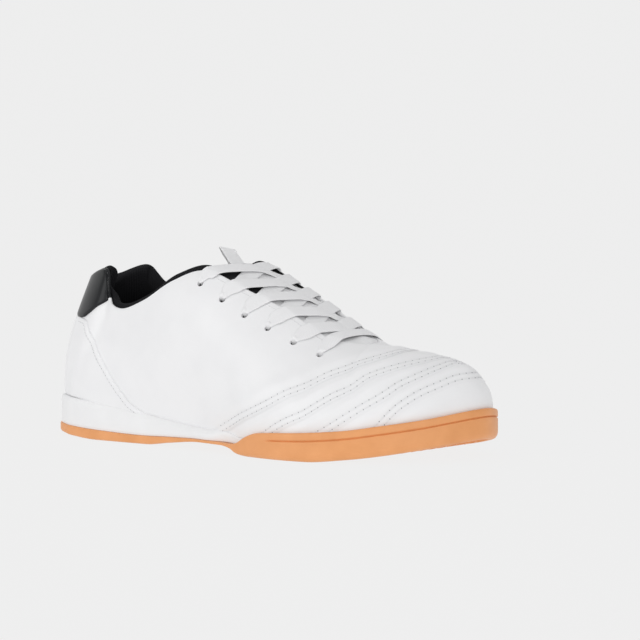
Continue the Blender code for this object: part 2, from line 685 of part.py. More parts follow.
def lace_path(row, outer_side, hump):
    """A lace from an eyelet across the throat, sinking below the opposite edge one row further down."""
    (k_start, v_edge), (k_end, v_end) = EYELETS[row], EYELETS[row + 1]
    start = wall_point(k_start if outer_side else RING - k_start, v_edge)
    end = wall_point(RING - k_end if outer_side else k_end, v_end)
    last = len(EYELETS) - 2
    dive, drift = LAST_DIVE if row == last else DIVE, LACE_DRIFT * (1.0 - (row / last) ** 2)
    frames = []
    for share in np.linspace(LACE_FROM, LACE_TO, LACE_FACETS + 1):
        q = share if outer_side else 1.0 - share
        out = LACE_OVER + (LACE_UNDER - LACE_OVER) * ease(share, dive) + hump * bell(share - 0.5, HUMP_WIDTH)
        bow = drift * np.clip((share - BOW_FROM) / (1.0 - BOW_FROM), 0.0, 1.0)
        frames.append(lace_frame(straight_ring(start, end, q, v_edge) + bow, out, q, v_edge))
    return np.array([frame[0] for frame in frames]), np.array([frame[1] for frame in frames])


def build_laces():
    last = len(EYELETS) - 1
    bar_ring, bar_edge = EYELETS[last]
    across = np.linspace(LACE_FROM, 1.0 - LACE_FROM, LACE_FACETS + 3)
    frames = []
    for q in across:
        out = LACE_OVER + GAP + BAR_HUMP * bell(q - 0.5, BAR_WIDTH)
        frames.append(lace_frame(bar_ring, out, q, bar_edge))
    path, up = (np.array(column) for column in zip(*frames))
    add_piece("lace_bar", "lace_textile", *ribbon(path, up))
    for row in range(last):
        under = ribbon(*lace_path(row, False, 0.0))
        over = ribbon(*lace_path(row, True, LACE_HUMP))
        piece = add_piece(f"lace_cross_{row + 1}", "lace_textile", *under)
        combine(piece, "UNION", add_piece(f"lace_over_{row + 1}", "lace_textile", *over))


def build_lace_end():
    """The free end of the lace, from below the top crossing over the tongue into the shoe."""
    hidden = [lace_frame(ring, END_UNDER, 0.5, EYELETS[0][1]) for ring in END_HIDDEN]
    path = through([frame[0] for frame in hidden] + list(np.array(END_GUIDE) * MM), END_FACETS)
    add_piece("lace_end", "lace_textile", *ribbon(path, carried(path, hidden[0][1])))


build_outsole()
build_midsole()
build_insole()
build_upper()
build_heel_counter()
build_heel_tab()
build_collar_lining()
build_tongue()
build_laces()
build_lace_end()
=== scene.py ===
import math

import bmesh
import bpy
import numpy as np
from mathutils import Matrix, Vector


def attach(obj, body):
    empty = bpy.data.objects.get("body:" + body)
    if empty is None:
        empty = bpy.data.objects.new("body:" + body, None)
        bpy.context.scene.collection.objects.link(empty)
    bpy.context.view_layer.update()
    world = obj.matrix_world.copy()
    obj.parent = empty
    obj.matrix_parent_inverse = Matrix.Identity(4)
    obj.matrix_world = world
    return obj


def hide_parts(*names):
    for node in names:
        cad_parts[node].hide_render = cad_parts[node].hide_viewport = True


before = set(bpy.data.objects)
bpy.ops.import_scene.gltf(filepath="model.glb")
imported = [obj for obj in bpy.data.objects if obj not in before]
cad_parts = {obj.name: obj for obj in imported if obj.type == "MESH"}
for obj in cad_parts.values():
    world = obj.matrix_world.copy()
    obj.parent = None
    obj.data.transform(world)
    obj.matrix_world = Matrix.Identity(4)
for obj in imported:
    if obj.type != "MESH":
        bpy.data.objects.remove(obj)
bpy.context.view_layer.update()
print("frame loaded:", len(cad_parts), "nodes")

mm = 0.001  # tables are in millimetres, with x from the back of the heel

shoe = {
    "wall": 0.0020,
    "gap": 0.00035,
    "flare": 0.10,  # how far the wall leans out at the sole
    "mouthLean": 0.13,
    "cupWall": 0.0030,
    "lipWall": 0.0034,
    "midsoleStep": 0.0009,
    "midsoleTurn": (0.136, 0.154),
    "featherTurn": (0.155, 0.175),
    "throatTop": 8,  # ribs at the two ends of the throat
    "throatFront": 12,
}

# a row per rib, heel to toe: the sole's edge on both sides, the rib's two tops, its slope and pulls
ribColumns = ("x", "outer", "inner", "outerX", "outerY", "outerZ", "innerX", "innerY", "innerZ",
              "pitch", "footPull", "topPull")
ribRows = (
    (0, 0, 0, 19, 0, 89, 19, 0, 89, 62, 0.40, 0.40),
    (8, -23, 21, 25, -11.5, 92, 25, 11.5, 92, 68, 0.40, 0.40),
    (20, -31.5, 30, 42, -18.5, 95.5, 41, 18.5, 96, 74, 0.40, 0.40),
    (30, -34.2, 33, 46.5, -21.5, 80.5, 47, 21.5, 86, 76, 0.40, 0.40),
    (42, -35.6, 34.5, 52, -24.5, 75.3, 54, 24, 79, 78, 0.40, 0.40),
    (65, -36, 34, 64, -27, 74, 67, 26.5, 76, 78, 0.40, 0.40),
    (95, -36, 30.5, 83, -29.5, 80, 85, 28.5, 80.5, 74, 0.40, 0.38),
    (125, -39, 28.5, 104, -29, 91, 105, 28.5, 91, 62, 0.38, 0.36),
    (150, -44, 32.5, 125, -24.5, 97, 126, 27, 97, 42, 0.38, 0.34),
    (175, -49.5, 40.5, 151, -20.5, 87.2, 151, 25, 87.6, 36, 0.38, 0.34),
    (195, -52, 47, 178, -17.5, 76.3, 178, 21.5, 76.3, 33, 0.40, 0.36),
    (215, -51, 50, 206, -13.5, 61.8, 208, 17.5, 61.8, 26, 0.44, 0.42),
    (235, -46, 50.5, 222, 2, 59, 222, 2, 59, 4, 0.50, 0.52),
    (252, -38, 48.5, 236, 4, 57, 236, 4, 57, 2, 0.56, 0.58),
    (268, -25, 43.5, 248, 6.5, 55, 248, 6.5, 55, 3, 0.60, 0.62),
    (280, -8, 35, 260, 9.5, 53.2, 260, 9.5, 53.2, 6, 0.64, 0.64),
    (288, 14, 14, 269, 12, 51.4, 269, 12, 51.4, 9, 0.66, 0.66),
)
soleColumns = ("x", "ground", "gumTop", "gumFloor", "lipTop", "footbed")
soleRows = (
    (0, 3.8, 8.6, 8.6, 24.0, 18.6),
    (12, 2.4, 7.6, 7.6, 23.6, 18.4),
    (28, 1.0, 6.8, 6.8, 22.6, 17.9),
    (48, 0.0, 5.9, 5.9, 21.0, 17.0),
    (86, 0.0, 4.9, 4.9, 16.6, 13.8),
    (104, 1.9, 5.4, 5.4, 14.2, 12.0),
    (132, 4.3, 6.0, 6.0, 12.0, 10.2),
    (152, 4.4, 6.0, 6.0, 11.6, 9.6),
    (160, 3.4, 5.9, 5.9, 10.6, 9.4),
    (166, 0.8, 6.8, 5.0, 9.4, 9.2),
    (174, 0.0, 10.6, 4.6, 9.2, 9.1),
    (184, 0.0, 13.4, 4.5, 9.1, 9.0),
    (216, 0.0, 15.4, 4.5, 9.1, 9.0),
    (238, 1.8, 17.2, 6.3, 10.9, 10.8),
    (256, 4.2, 20.0, 8.8, 13.4, 13.3),
    (272, 7.4, 22.8, 12.0, 16.6, 16.5),
    (288, 11.4, 27.4, 16.0, 20.6, 20.5),
)
# ring, value: where things lie on the wall, counted in ribs from the heel
eyelets = ((8.02, 0.875), (8.62, 0.81), (9.20, 0.775), (9.80, 0.76), (10.40, 0.765), (10.98, 0.78))
crestArch = ((7.7, 0.10), (8, 0.12), (8.5, 0.12), (9, 0.11), (10, 0.11), (11, 0.12), (12, 0.16), (14, 0.20))


# curves

def smoothSteps(xs, ys, x):  # through the points, without overshoot
    xs, ys, x = (np.asarray(values, float) for values in (xs, ys, x))
    slopes = np.diff(ys) / np.diff(xs)
    sameWay = slopes[:-1] * slopes[1:] > 0
    inner = np.where(sameWay, 2 * slopes[:-1] * slopes[1:] / (slopes[:-1] + slopes[1:] + 1e-30), 0.0)
    tangents = np.concatenate([slopes[:1], inner, slopes[-1:]])
    i = np.clip(np.searchsorted(xs, x) - 1, 0, len(xs) - 2)
    width = xs[i + 1] - xs[i]
    t = np.clip((x - xs[i]) / width, 0.0, 1.0)
    start = (1 + 2 * t) * (1 - t) ** 2 * ys[i] + t * (1 - t) ** 2 * width * tangents[i]
    end = t * t * (3 - 2 * t) * ys[i + 1] + t * t * (t - 1) * width * tangents[i + 1]
    return start + end


def ease(x, turn):
    t = np.clip((np.asarray(x, float) - turn[0]) / (turn[1] - turn[0]), 0.0, 1.0)
    return t * t * (3 - 2 * t)


def bell(x, width):
    return np.exp(-((np.asarray(x) / width) ** 2))


def cubic(a, b, c, d, t):
    return 0.5 * (2 * b + (c - a) * t + (2 * a - 5 * b + 4 * c - d) * t**2 + (3 * b - a - 3 * c + d) * t**3)


def openCurve(points, count):  # a smooth path through points
    points = np.array(points, float)
    points = np.concatenate([2 * points[:1] - points[1:2], points, 2 * points[-1:] - points[-2:-1]])
    t = np.linspace(0, len(points) - 3, count)
    i = np.minimum(t.astype(int), len(points) - 4)
    return cubic(*(points[i + k] for k in range(4)), (t - i)[:, None])


def evenly(path, count):  # the same path with even steps
    run = np.concatenate([[0.0], np.cumsum(np.linalg.norm(np.diff(path, axis=0), axis=1))])
    at = np.linspace(0, run[-1], count)
    return np.stack([np.interp(at, run, path[:, k]) for k in range(path.shape[1])], 1)


def unit(vectors):
    return vectors / (np.linalg.norm(vectors, axis=-1, keepdims=True) + 1e-12)


# the shoe's own form

def height(column, x):
    table = np.array(soleRows, float) * mm
    return smoothSteps(table[:, 0], table[:, soleColumns.index(column)], x)


def ringOf(outer, inner):  # heel, outer side, toe, inner side
    table = np.array(ribRows, float)
    return np.concatenate([table[:, ribColumns.index(outer)], table[-2:0:-1, ribColumns.index(inner)]])


ring = 2 * (len(ribRows) - 1)
toe = len(ribRows) - 1
edgeRing = np.stack([ringOf("x", "x"), ringOf("outer", "inner")], 1) * mm
topRing = np.stack([ringOf("outer" + axis, "inner" + axis) for axis in "XYZ"], 1) * mm
pitchRing = np.radians(ringOf("pitch", "pitch"))
footPullRing = ringOf("footPull", "footPull")
topPullRing = ringOf("topPull", "topPull")


def around(values, r):
    r = np.asarray(r, float) % ring
    i = np.floor(r).astype(int)
    t = r - i
    if values.ndim > 1:
        t = t[..., None]
    return cubic(*(values[(i + k) % ring] for k in (-1, 0, 1, 2)), t)


cadSteps = np.arange(ring * 3) / 3  # the solids' own columns, so that both stand on the same middle
origin = np.append(0.5 * (around(edgeRing, cadSteps).min(0) + around(edgeRing, cadSteps).max(0)), 0.0)


def nearSide(r):  # ring position folded onto the outer side
    return np.minimum(np.asarray(r, float) % ring, ring - np.asarray(r, float) % ring)


def soleEdge(r, inset):
    r = np.asarray(r, float)
    run = unit(around(edgeRing, r + 0.02) - around(edgeRing, r - 0.02))
    return around(edgeRing, r) + np.stack([-run[..., 1], run[..., 0]], -1) * np.asarray(inset)[..., None]


def featherInset(x):
    heel = shoe["midsoleStep"] + shoe["lipWall"] + shoe["gap"]
    return heel + (shoe["cupWall"] + shoe["gap"] - heel) * ease(x, shoe["featherTurn"])


def ribTop(r):
    front = shoe["throatFront"]
    top = around(topRing, r)
    near = nearSide(r)
    top = np.where((near >= front)[..., None], 0.5 * (top + around(topRing, ring - r)), top)
    turn = np.clip(near - (front - 1), 0.0, 1.0) * math.pi / 2
    last = np.where((r % ring < toe)[..., None], topRing[front - 1], topRing[ring - front + 1])
    share = np.stack([np.sin(turn), 1 - np.cos(turn), np.sin(turn)], -1)
    rounded = last + (topRing[front] - last) * share
    return np.where(((near > front - 1) & (near < front))[..., None], rounded, top)


def ribEnds(r):
    x = around(edgeRing, r)[..., 0]
    plan = soleEdge(r, featherInset(x))
    foot = np.concatenate([plan, (height("footbed", plan[..., 0]) + shoe["gap"])[..., None]], -1)
    top = ribTop(r)
    out = unit(around(edgeRing, r) - soleEdge(r, np.full(r.shape, mm)))
    reach = ((foot - top)[..., :2] * out).sum(-1, keepdims=True)
    rise = (top - foot)[..., 2:]
    span = np.sqrt(reach**2 + rise**2)
    pitch = around(pitchRing, r)[..., None]
    steep = np.sin(pitch)
    fall = np.concatenate([out * np.cos(pitch), -steep], -1)
    up = np.concatenate([out * shoe["flare"], np.ones_like(rise)], -1)
    low = foot + up * rise * around(footPullRing, r)[..., None]
    high = top + fall * (reach * (1 - steep) + span * steep) * around(topPullRing, r)[..., None]
    return foot, low, high, top, -fall, span


def wallPoint(r, v):
    r, v = np.broadcast_arrays(np.asarray(r, float), np.asarray(v, float))
    foot, low, high, top, onward, span = ribEnds(r)
    t = np.clip(v, 0.0, 1.0)[..., None]
    point = (1 - t) ** 3 * foot + 3 * t * (1 - t) ** 2 * low + 3 * t * t * (1 - t) * high + t**3 * top
    return point + onward * span * np.clip(v - 1.0, 0.0, None)[..., None]


def wallNormal(r, v):
    r, v = np.broadcast_arrays(np.asarray(r, float), np.asarray(v, float))
    dr, dv = 0.05, 0.02
    v = np.clip(v, 0.0, 1.0 - dv)
    along = wallPoint(r + dr, v) - wallPoint(r - dr, v)
    up = wallPoint(r, np.minimum(v + dv, 1.0)) - wallPoint(r, np.maximum(v - dv, 0.0))
    return unit(np.cross(along, up))


def wallOffset(r, v, out):
    return wallPoint(r, v) + wallNormal(r, v) * np.asarray(out)[..., None]


def level(r, z):  # share of the wall at height z
    r, z = np.broadcast_arrays(np.asarray(r, float), np.asarray(z, float))
    low, high = np.zeros(r.shape), np.ones(r.shape)
    for _ in range(24):
        middle = 0.5 * (low + high)
        below = wallPoint(r, middle)[..., 2] < z
        low, high = np.where(below, middle, low), np.where(below, high, middle)
    return 0.5 * (low + high)


def fromTable(rows, r):
    table = np.array(rows, float)
    return smoothSteps(table[:, 0], table[:, 1], nearSide(r))


def overInstep(k, out, q, vEdge):  # q: -1 outer eyelet, 0 and 1 edges of the throat, 2 inner eyelet
    q = np.asarray(q, float)
    ends = np.array([k, ring - k])
    rise = wallOffset(ends, np.ones(2), np.full(2, out))
    onward = ribEnds(ends)[4]
    pull = fromTable(crestArch, k) * np.linalg.norm(rise[1] - rise[0])
    a, b = rise + onward * pull
    t = np.clip(q, 0.0, 1.0)[:, None]
    arch = (1 - t) ** 3 * rise[0] + 3 * t * (1 - t) ** 2 * a + 3 * t * t * (1 - t) * b + t**3 * rise[1]
    share = np.clip(np.where(q < 0.5, -q, q - 1.0), 0.0, 1.0)
    wall = wallOffset(np.where(q < 0.5, k, ring - k), 1.0 - share * (1.0 - vEdge), np.full(q.shape, out))
    return np.where(share[:, None] > 0.0, wall, arch)


# meshes

def addPiece(name, points, faces, materials, slotName, nodes, uv=None, values=None, faceMaterial=None,
             sharp=50):
    mesh = bpy.data.meshes.new(name)
    mesh.from_pydata((np.asarray(points) - origin).tolist(), [], faces)
    for material in materials:
        mesh.materials.append(material)
    if faceMaterial is not None:
        mesh.polygons.foreach_set("material_index", np.asarray(faceMaterial, np.int32))
    if uv is not None:
        layer = mesh.uv_layers.new(name="pattern")
        corners = np.zeros(len(mesh.loops), np.int32)
        mesh.loops.foreach_get("vertex_index", corners)
        layer.data.foreach_set("uv", np.asarray(uv, np.float32)[corners].ravel())
    for key, value in (values or {}).items():
        attribute = mesh.attributes.new(key, "FLOAT", "POINT")
        attribute.data.foreach_set("value", np.asarray(value, np.float32))
    form = bmesh.new()
    form.from_mesh(mesh)
    bmesh.ops.remove_doubles(form, verts=form.verts, dist=0.000002)
    bmesh.ops.delete(form, geom=[v for v in form.verts if not v.link_faces], context="VERTS")
    bmesh.ops.recalc_face_normals(form, faces=form.faces)
    form.to_mesh(mesh)
    form.free()
    mesh.shade_smooth()
    mesh.set_sharp_from_angle(angle=math.radians(sharp))
    piece = bpy.data.objects.new(name, mesh)
    bpy.context.scene.collection.objects.link(piece)
    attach(piece, "root")
    if nodes:
        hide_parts(*nodes)
    print(name, len(mesh.polygons), "faces")
    return piece


def stripFaces(rows, columns, closedRows=False, closedColumns=False):
    i, j = np.meshgrid(np.arange(rows if closedRows else rows - 1),
                       np.arange(columns if closedColumns else columns - 1), indexing="ij")
    a, b = (i + 1) % rows, (j + 1) % columns
    quads = np.stack([i * columns + j, a * columns + j, a * columns + b, i * columns + b], -1)
    return [tuple(quad) for quad in quads.reshape(-1, 4).tolist()]


def endCap(first, count):  # fills a flat loop with quads across it
    last = first + count - 1
    return [(first + i, first + i + 1, last - i - 1, last - i) for i in range(count // 2 - 1)]


def closedRings(rings):  # rings around the shoe from floor to top, both ends filled
    count = len(rings[0])
    faces = stripFaces(len(rings), count, closedColumns=True)
    for start in (0, (len(rings) - 1) * count):
        for i in range(count // 2):
            corners = (start + i, start + i + 1, start + (count - i - 1) % count, start + (count - i) % count)
            faces.append(tuple(dict.fromkeys(corners)))
    return np.concatenate(rings), faces


def sweptLoops(loops):  # closed loops along a path, both ends filled
    loops = np.asarray(loops)
    rows, count = loops.shape[:2]
    faces = stripFaces(rows, count, closedColumns=True)
    faces.append(tuple(range(count)))
    faces.append(tuple(range((rows - 1) * count, rows * count)))
    return loops.reshape(-1, 3), faces


# shader groups that several finishes share

def newGroup(name, inputs, outputs):
    tree = bpy.data.node_groups.new(name, "ShaderNodeTree")
    for label, value in inputs.items():
        tree.interface.new_socket(label, in_out="INPUT", socket_type="NodeSocketFloat").default_value = value
    for label in outputs:
        tree.interface.new_socket(label, in_out="OUTPUT", socket_type="NodeSocketFloat")
    return tree, tree.nodes.new("NodeGroupInput"), tree.nodes.new("NodeGroupOutput")


def mathNode(tree, operation, a, b=None):
    node = tree.nodes.new("ShaderNodeMath")
    node.operation = operation
    for socket, value in zip(node.inputs, (a, b)):
        if isinstance(value, bpy.types.NodeSocket):
            tree.links.new(value, socket)
        elif value is not None:
            socket.default_value = value
    return node.outputs[0]


def makeGrain():  # fine pebble of coated leather or moulded rubber
    tree, inputs, outputs = newGroup("fineGrain", {"Cells": 1400.0, "Drift": 60.0}, ("Height", "Tone"))
    place = tree.nodes.new("ShaderNodeTexCoord").outputs["Object"]
    cells = tree.nodes.new("ShaderNodeTexVoronoi")
    cells.feature = "SMOOTH_F1"
    tree.links.new(place, cells.inputs["Vector"])
    tree.links.new(inputs.outputs["Cells"], cells.inputs["Scale"])
    drift = tree.nodes.new("ShaderNodeTexNoise")
    drift.inputs["Detail"].default_value = 3.0
    tree.links.new(place, drift.inputs["Vector"])
    tree.links.new(inputs.outputs["Drift"], drift.inputs["Scale"])
    tree.links.new(cells.outputs["Distance"], outputs.inputs["Height"])
    tree.links.new(drift.outputs["Fac"], outputs.inputs["Tone"])
    return tree


def makeWeave():  # crossing threads on a piece's own pattern map, in metres; their tone is darker in the valleys between threads, painted shade mixed with random noise
    tree, inputs, outputs = newGroup("crossWeave", {"Pitch": 0.001, "Slant": 0.0}, ("Height", "Tone"))
    place = tree.nodes.new("ShaderNodeUVMap")
    place.uv_map = "pattern"
    split = tree.nodes.new("ShaderNodeSeparateXYZ")
    tree.links.new(place.outputs["UV"], split.inputs[0])
    folded = mathNode(tree, "ABSOLUTE", split.outputs["Y"])
    lean = mathNode(tree, "MULTIPLY", folded, inputs.outputs["Slant"])
    turn = mathNode(tree, "DIVIDE", math.tau, inputs.outputs["Pitch"])
    slantX = mathNode(tree, "ADD", split.outputs["X"], lean)
    slantY = mathNode(tree, "SUBTRACT", split.outputs["Y"], lean)
    along = mathNode(tree, "SINE", mathNode(tree, "MULTIPLY", slantX, turn))
    across = mathNode(tree, "SINE", mathNode(tree, "MULTIPLY", slantY, turn))
    rib = mathNode(tree, "ADD", along, mathNode(tree, "MULTIPLY", across, 0.5))
    height = mathNode(tree, "MULTIPLY_ADD", rib, 0.33)
    height.node.inputs[2].default_value = 0.5
    fuzz = tree.nodes.new("ShaderNodeTexNoise")
    fuzz.inputs["Scale"].default_value = 2500.0
    tree.links.new(place.outputs["UV"], fuzz.inputs["Vector"])
    tree.links.new(height, outputs.inputs["Height"])
    # the tone follows the thread height: painted shade in the valleys, times a random noise
    tree.links.new(mathNode(tree, "MULTIPLY", height, fuzz.outputs["Fac"]), outputs.inputs["Tone"])
    return tree


grainGroup = makeGrain()
weaveGroup = makeWeave()


def newFinish(name, roughness, specular):
    material = bpy.data.materials.new(name)
    material.use_nodes = True
    shader = material.node_tree.nodes["Principled BSDF"]
    shader.inputs["Roughness"].default_value = roughness
    shader.inputs["Specular IOR Level"].default_value = specular
    return material, material.node_tree, shader


def placeGroup(tree, group, **values):
    node = tree.nodes.new("ShaderNodeGroup")
    node.node_tree = group
    for label, value in values.items():
        node.inputs[label].default_value = value
    return node


def addBump(tree, shader, heightSocket, strength, distance):
    bump = tree.nodes.new("ShaderNodeBump")
    bump.inputs["Strength"].default_value = strength
    bump.inputs["Distance"].default_value = distance
    tree.links.new(heightSocket, bump.inputs["Height"])
    tree.links.new(bump.outputs["Normal"], shader.inputs["Normal"])


def twoTone(tree, factor, tones, low, high):
    ramp = tree.nodes.new("ShaderNodeValToRGB")
    ramp.color_ramp.elements[0].position = low
    ramp.color_ramp.elements[0].color = (*tones["dark"], 1.0)
    ramp.color_ramp.elements[1].position = high
    ramp.color_ramp.elements[1].color = (*tones["light"], 1.0)
    tree.links.new(factor, ramp.inputs["Fac"])
    return ramp.outputs["Color"]


def blendTone(tree, factor, a, b):
    mix = tree.nodes.new("ShaderNodeMix")
    mix.data_type = "RGBA"
    for socket, value in ((mix.inputs[0], factor), (mix.inputs[6], a), (mix.inputs[7], b)):
        if isinstance(value, bpy.types.NodeSocket):
            tree.links.new(value, socket)
        else:
            socket.default_value = (*value, 1.0)
    return mix.outputs[2]


def readValue(tree, name):
    node = tree.nodes.new("ShaderNodeAttribute")
    node.attribute_name = name
    return node.outputs["Fac"]


finishes = {
    # the leather's third tone is painted shade for the stitch grooves and the foot of panel edges
    "leather": {"dark": (0.855, 0.855, 0.865), "light": (0.885, 0.885, 0.893), "seam": (0.42, 0.42, 0.44)},
    "foam": {"dark": (0.855, 0.855, 0.86), "light": (0.885, 0.885, 0.89)},
    "gum": {"dark": (0.775, 0.332, 0.120), "light": (0.855, 0.383, 0.150)},
    "patent": {"dark": (0.010, 0.011, 0.012), "light": (0.018, 0.019, 0.021)},
    "lining": {"dark": (0.006, 0.006, 0.007), "light": (0.015, 0.015, 0.017)},
    "lace": {"dark": (0.84, 0.84, 0.85), "light": (0.92, 0.92, 0.925)},
    "tongue": {"dark": (0.80, 0.80, 0.81), "light": (0.88, 0.88, 0.885), "top": (0.012, 0.012, 0.014)},
    "thread": {"dark": (0.74, 0.74, 0.75), "light": (0.86, 0.86, 0.87)},
    # painted shade of the needle holes: flat grey dots set at each stitch
    "needleHoleShade": {"dark": (0.34, 0.34, 0.35), "light": (0.42, 0.42, 0.43)},
}


def makeLeather():
    material, tree, shader = newFinish("whiteLeather", 0.40, 0.45)
    tones = finishes["leather"]
    grain = placeGroup(tree, grainGroup, Cells=1500.0, Drift=45.0)
    plain = twoTone(tree, grain.outputs["Tone"], tones, 0.25, 0.60)
    # painted shade: the third tone is blended in along the stitch grooves and under panel edges
    colour = blendTone(tree, readValue(tree, "seam"), plain, tones["seam"])
    tree.links.new(colour, shader.inputs["Base Color"])
    gloss = tree.nodes.new("ShaderNodeMapRange")
    gloss.inputs["To Min"].default_value = 0.34
    gloss.inputs["To Max"].default_value = 0.50
    tree.links.new(grain.outputs["Tone"], gloss.inputs["Value"])
    tree.links.new(gloss.outputs["Result"], shader.inputs["Roughness"])
    addBump(tree, shader, grain.outputs["Height"], 0.12, 0.00025)
    return material


def makeGrained(name, tones, roughness, cells, strength, specular):
    material, tree, shader = newFinish(name, roughness, specular)
    grain = placeGroup(tree, grainGroup, Cells=cells, Drift=70.0)
    colour = twoTone(tree, grain.outputs["Tone"], tones, 0.3, 0.7)
    tree.links.new(colour, shader.inputs["Base Color"])
    addBump(tree, shader, grain.outputs["Height"], strength, 0.0002)
    return material


def makeWoven(name, tones, roughness, pitch, slant, strength):
    material, tree, shader = newFinish(name, roughness, 0.2)
    weave = placeGroup(tree, weaveGroup, Pitch=pitch, Slant=slant)
    # tone from the weave: painted shade between the threads, with random tone
    colour = twoTone(tree, weave.outputs["Tone"], tones, 0.05, 0.45)
    tree.links.new(colour, shader.inputs["Base Color"])
    addBump(tree, shader, weave.outputs["Height"], strength, 0.0002)
    return material, tree, shader, colour


leather = makeLeather()
foam = makeGrained("whiteFoam", finishes["foam"], 0.55, 900.0, 0.10, specular=0.4)
gum = makeGrained("gumRubber", finishes["gum"], 0.46, 1100.0, 0.14, specular=0.45)
patent = makeGrained("blackPatent", finishes["patent"], 0.28, 1300.0, 0.10, specular=0.24)
lining = makeWoven("liningKnit", finishes["lining"], 0.95, 0.0016, 0.0, 0.5)[0]
laceCloth = makeWoven("laceBraid", finishes["lace"], 0.80, 0.0011, 1.0, 0.28)[0]
thread = makeGrained("seamThread", finishes["thread"], 0.70, 3000.0, 0.30, specular=0.3)
# flat grey dots at the stitches, painted shade of the needle holes
needleHoleShade = makeGrained("needleHoleShade", finishes["needleHoleShade"], 0.90, 3000.0, 0.10, specular=0.5)
print("finishes made")


# upper

upperLook = {
    "vampSteps": 30,  # columns between two ribs from the eyelets to the toe
    "heelSteps": 12,
    "wallSteps": 104,
    "innerSteps": 14,
    "rimSteps": 5,
    "stitchGap": 0.0032,  # between the two lines of a double row
    "grooveDepth": 0.00019,
    "grooveWidth": 0.0009,
    # painted shade: how dark the stitch grooves and the foot of each panel's edge are painted
    "grooveShade": 0.10,
    "panelFall": (0.0008, 0.0016),  # a panel's edge falls off this far past its row
    "panelReach": 0.014,
    "edgeShade": 0.18,
    "edgeShadeWidth": 0.0006,
    "puff": 0.0007,  # how far the vamp swells between its rows
    "puffReach": 0.0085,
    "puffFade": (0.004, 0.016),  # behind the last row
    "creaseRidge": 0.55,  # a crease has a soft ridge on both sides
    "eyeletRadius": 0.0019,
    "blackRim": 3.08,  # the edge is black as far as the heel tab reaches
    "blackThroat": (8.0, 9.35),  # and along the top of the throat, on its inner half
}
# double rows over the vamp: ring, share of the wall; step: thickness of the panel that ends there
vampRows = {
    "quarterEdge": {"step": 0.00065, "path": (
        (7.68, 0.0), (8.73, 0.12), (9.95, 0.255), (10.8, 0.43), (11.42, 0.567), (11.98, 0.632),
        (12.52, 0.715), (13.0, 0.835), (13.45, 1.0))},
    "firstFold": {"step": 0.00045, "path": (
        (9.3, 0.0), (9.88, 0.07), (10.9, 0.22), (11.65, 0.355), (12.18, 0.41), (12.62, 0.52), (13.18, 0.61),
        (14.0, 0.745), (14.6, 0.86), (15.1, 1.0))},
    "secondFold": {"step": 0.00030, "path": (
        (10.9, 0.0), (11.58, 0.09), (12.35, 0.20), (13.15, 0.325), (13.62, 0.44), (14.15, 0.545),
        (15.0, 0.735), (15.5, 0.86), (16.0, 0.92))},
    "toeFold": {"step": 0.00020, "path": (
        (12.95, 0.0), (13.3, 0.11), (13.55, 0.19), (13.78, 0.25), (14.23, 0.34), (14.8, 0.425),
        (15.28, 0.505), (15.62, 0.545), (16.0, 0.56))},
}
# soft creases: from ring, share to ring, share; depth and width in mm
creases = (
    (9.6, 0.60, 10.9, 0.40, 0.35, 5.0),
    (10.2, 0.66, 11.2, 0.52, 0.30, 4.0),
    (5.2, 0.86, 6.3, 0.62, 0.35, 7.0),
    (6.0, 0.93, 7.2, 0.70, 0.30, 7.0),
    (3.2, 0.88, 4.3, 0.60, 0.30, 6.0),
    (11.9, 0.95, 12.6, 0.88, 0.30, 3.0),
)


def rowCurve(name, count=160):
    return openCurve(vampRows[name]["path"], count)


def nearest(points, curve):  # distance from each point to a sampled curve
    best = np.full(len(points), 1e9)
    for start in range(0, len(points), 8192):
        part = points[start:start + 8192]
        square = (part**2).sum(1)[:, None] + (curve**2).sum(1)[None] - 2 * part @ curve.T
        best[start:start + 8192] = np.sqrt(np.clip(square.min(1), 0.0, None))
    return best


def vampRelief(r, v):  # height of grooves, panel steps, puffs and creases, and how dark the painted shade in the stitch grooves and under panel edges is
    flat = wallPoint(r, v).reshape(-1, 3)
    near, share = nearSide(r).ravel(), v.ravel()
    lift, seam = np.zeros(len(flat)), np.zeros(len(flat))
    closest = np.full(len(flat), 1e9)
    look, half = upperLook, upperLook["stitchGap"] / 2
    fallFrom, fallTo = (half + fall for fall in look["panelFall"])
    thickest = max(row["step"] for row in vampRows.values())
    for name, row in vampRows.items():
        curve = rowCurve(name)
        sides = [wallPoint(rings, curve[:, 1]) for rings in (curve[:, 0], ring - curve[:, 0])]
        distance = nearest(flat, np.concatenate(sides))
        ahead = near > np.interp(share, curve[:, 1], curve[:, 0], right=99.0)
        signed = np.where(ahead, distance, -distance)
        groove = bell(np.abs(signed) - half, look["grooveWidth"])
        panel = row["step"] * (1 - ease(signed, (fallFrom, fallTo)))
        lift += panel * bell(np.minimum(signed, 0), look["panelReach"]) - look["grooveDepth"] * groove
        # painted shadow below each panel's edge and painted shade in the stitch grooves, kept as a colour
        # mask
        shadow = row["step"] / thickest * look["edgeShade"] * bell(signed - fallTo, look["edgeShadeWidth"])
        seam = np.maximum(seam, np.maximum(look["grooveShade"] * groove, shadow))
        closest = np.minimum(closest, distance)
        if name == "quarterEdge":
            behind = np.where(ahead, 0.0, distance)
    puff = look["puff"] * ease(closest, (half, look["puffReach"]))
    lift += puff * (1 - ease(behind, look["puffFade"])) * ease(share, (0.02, 0.16))
    for fromRing, fromShare, toRing, toShare, depth, width in creases:
        line = np.linspace((fromRing, fromShare), (toRing, toShare), 40)[4:-4]
        for rings in (line[:, 0], ring - line[:, 0]):
            distance = nearest(flat, wallPoint(rings, line[:, 1]))
            trough = bell(distance, width * mm) - look["creaseRidge"] * bell(distance, 2 * width * mm)
            lift -= depth * mm * trough
    return lift.reshape(r.shape), seam.reshape(r.shape)


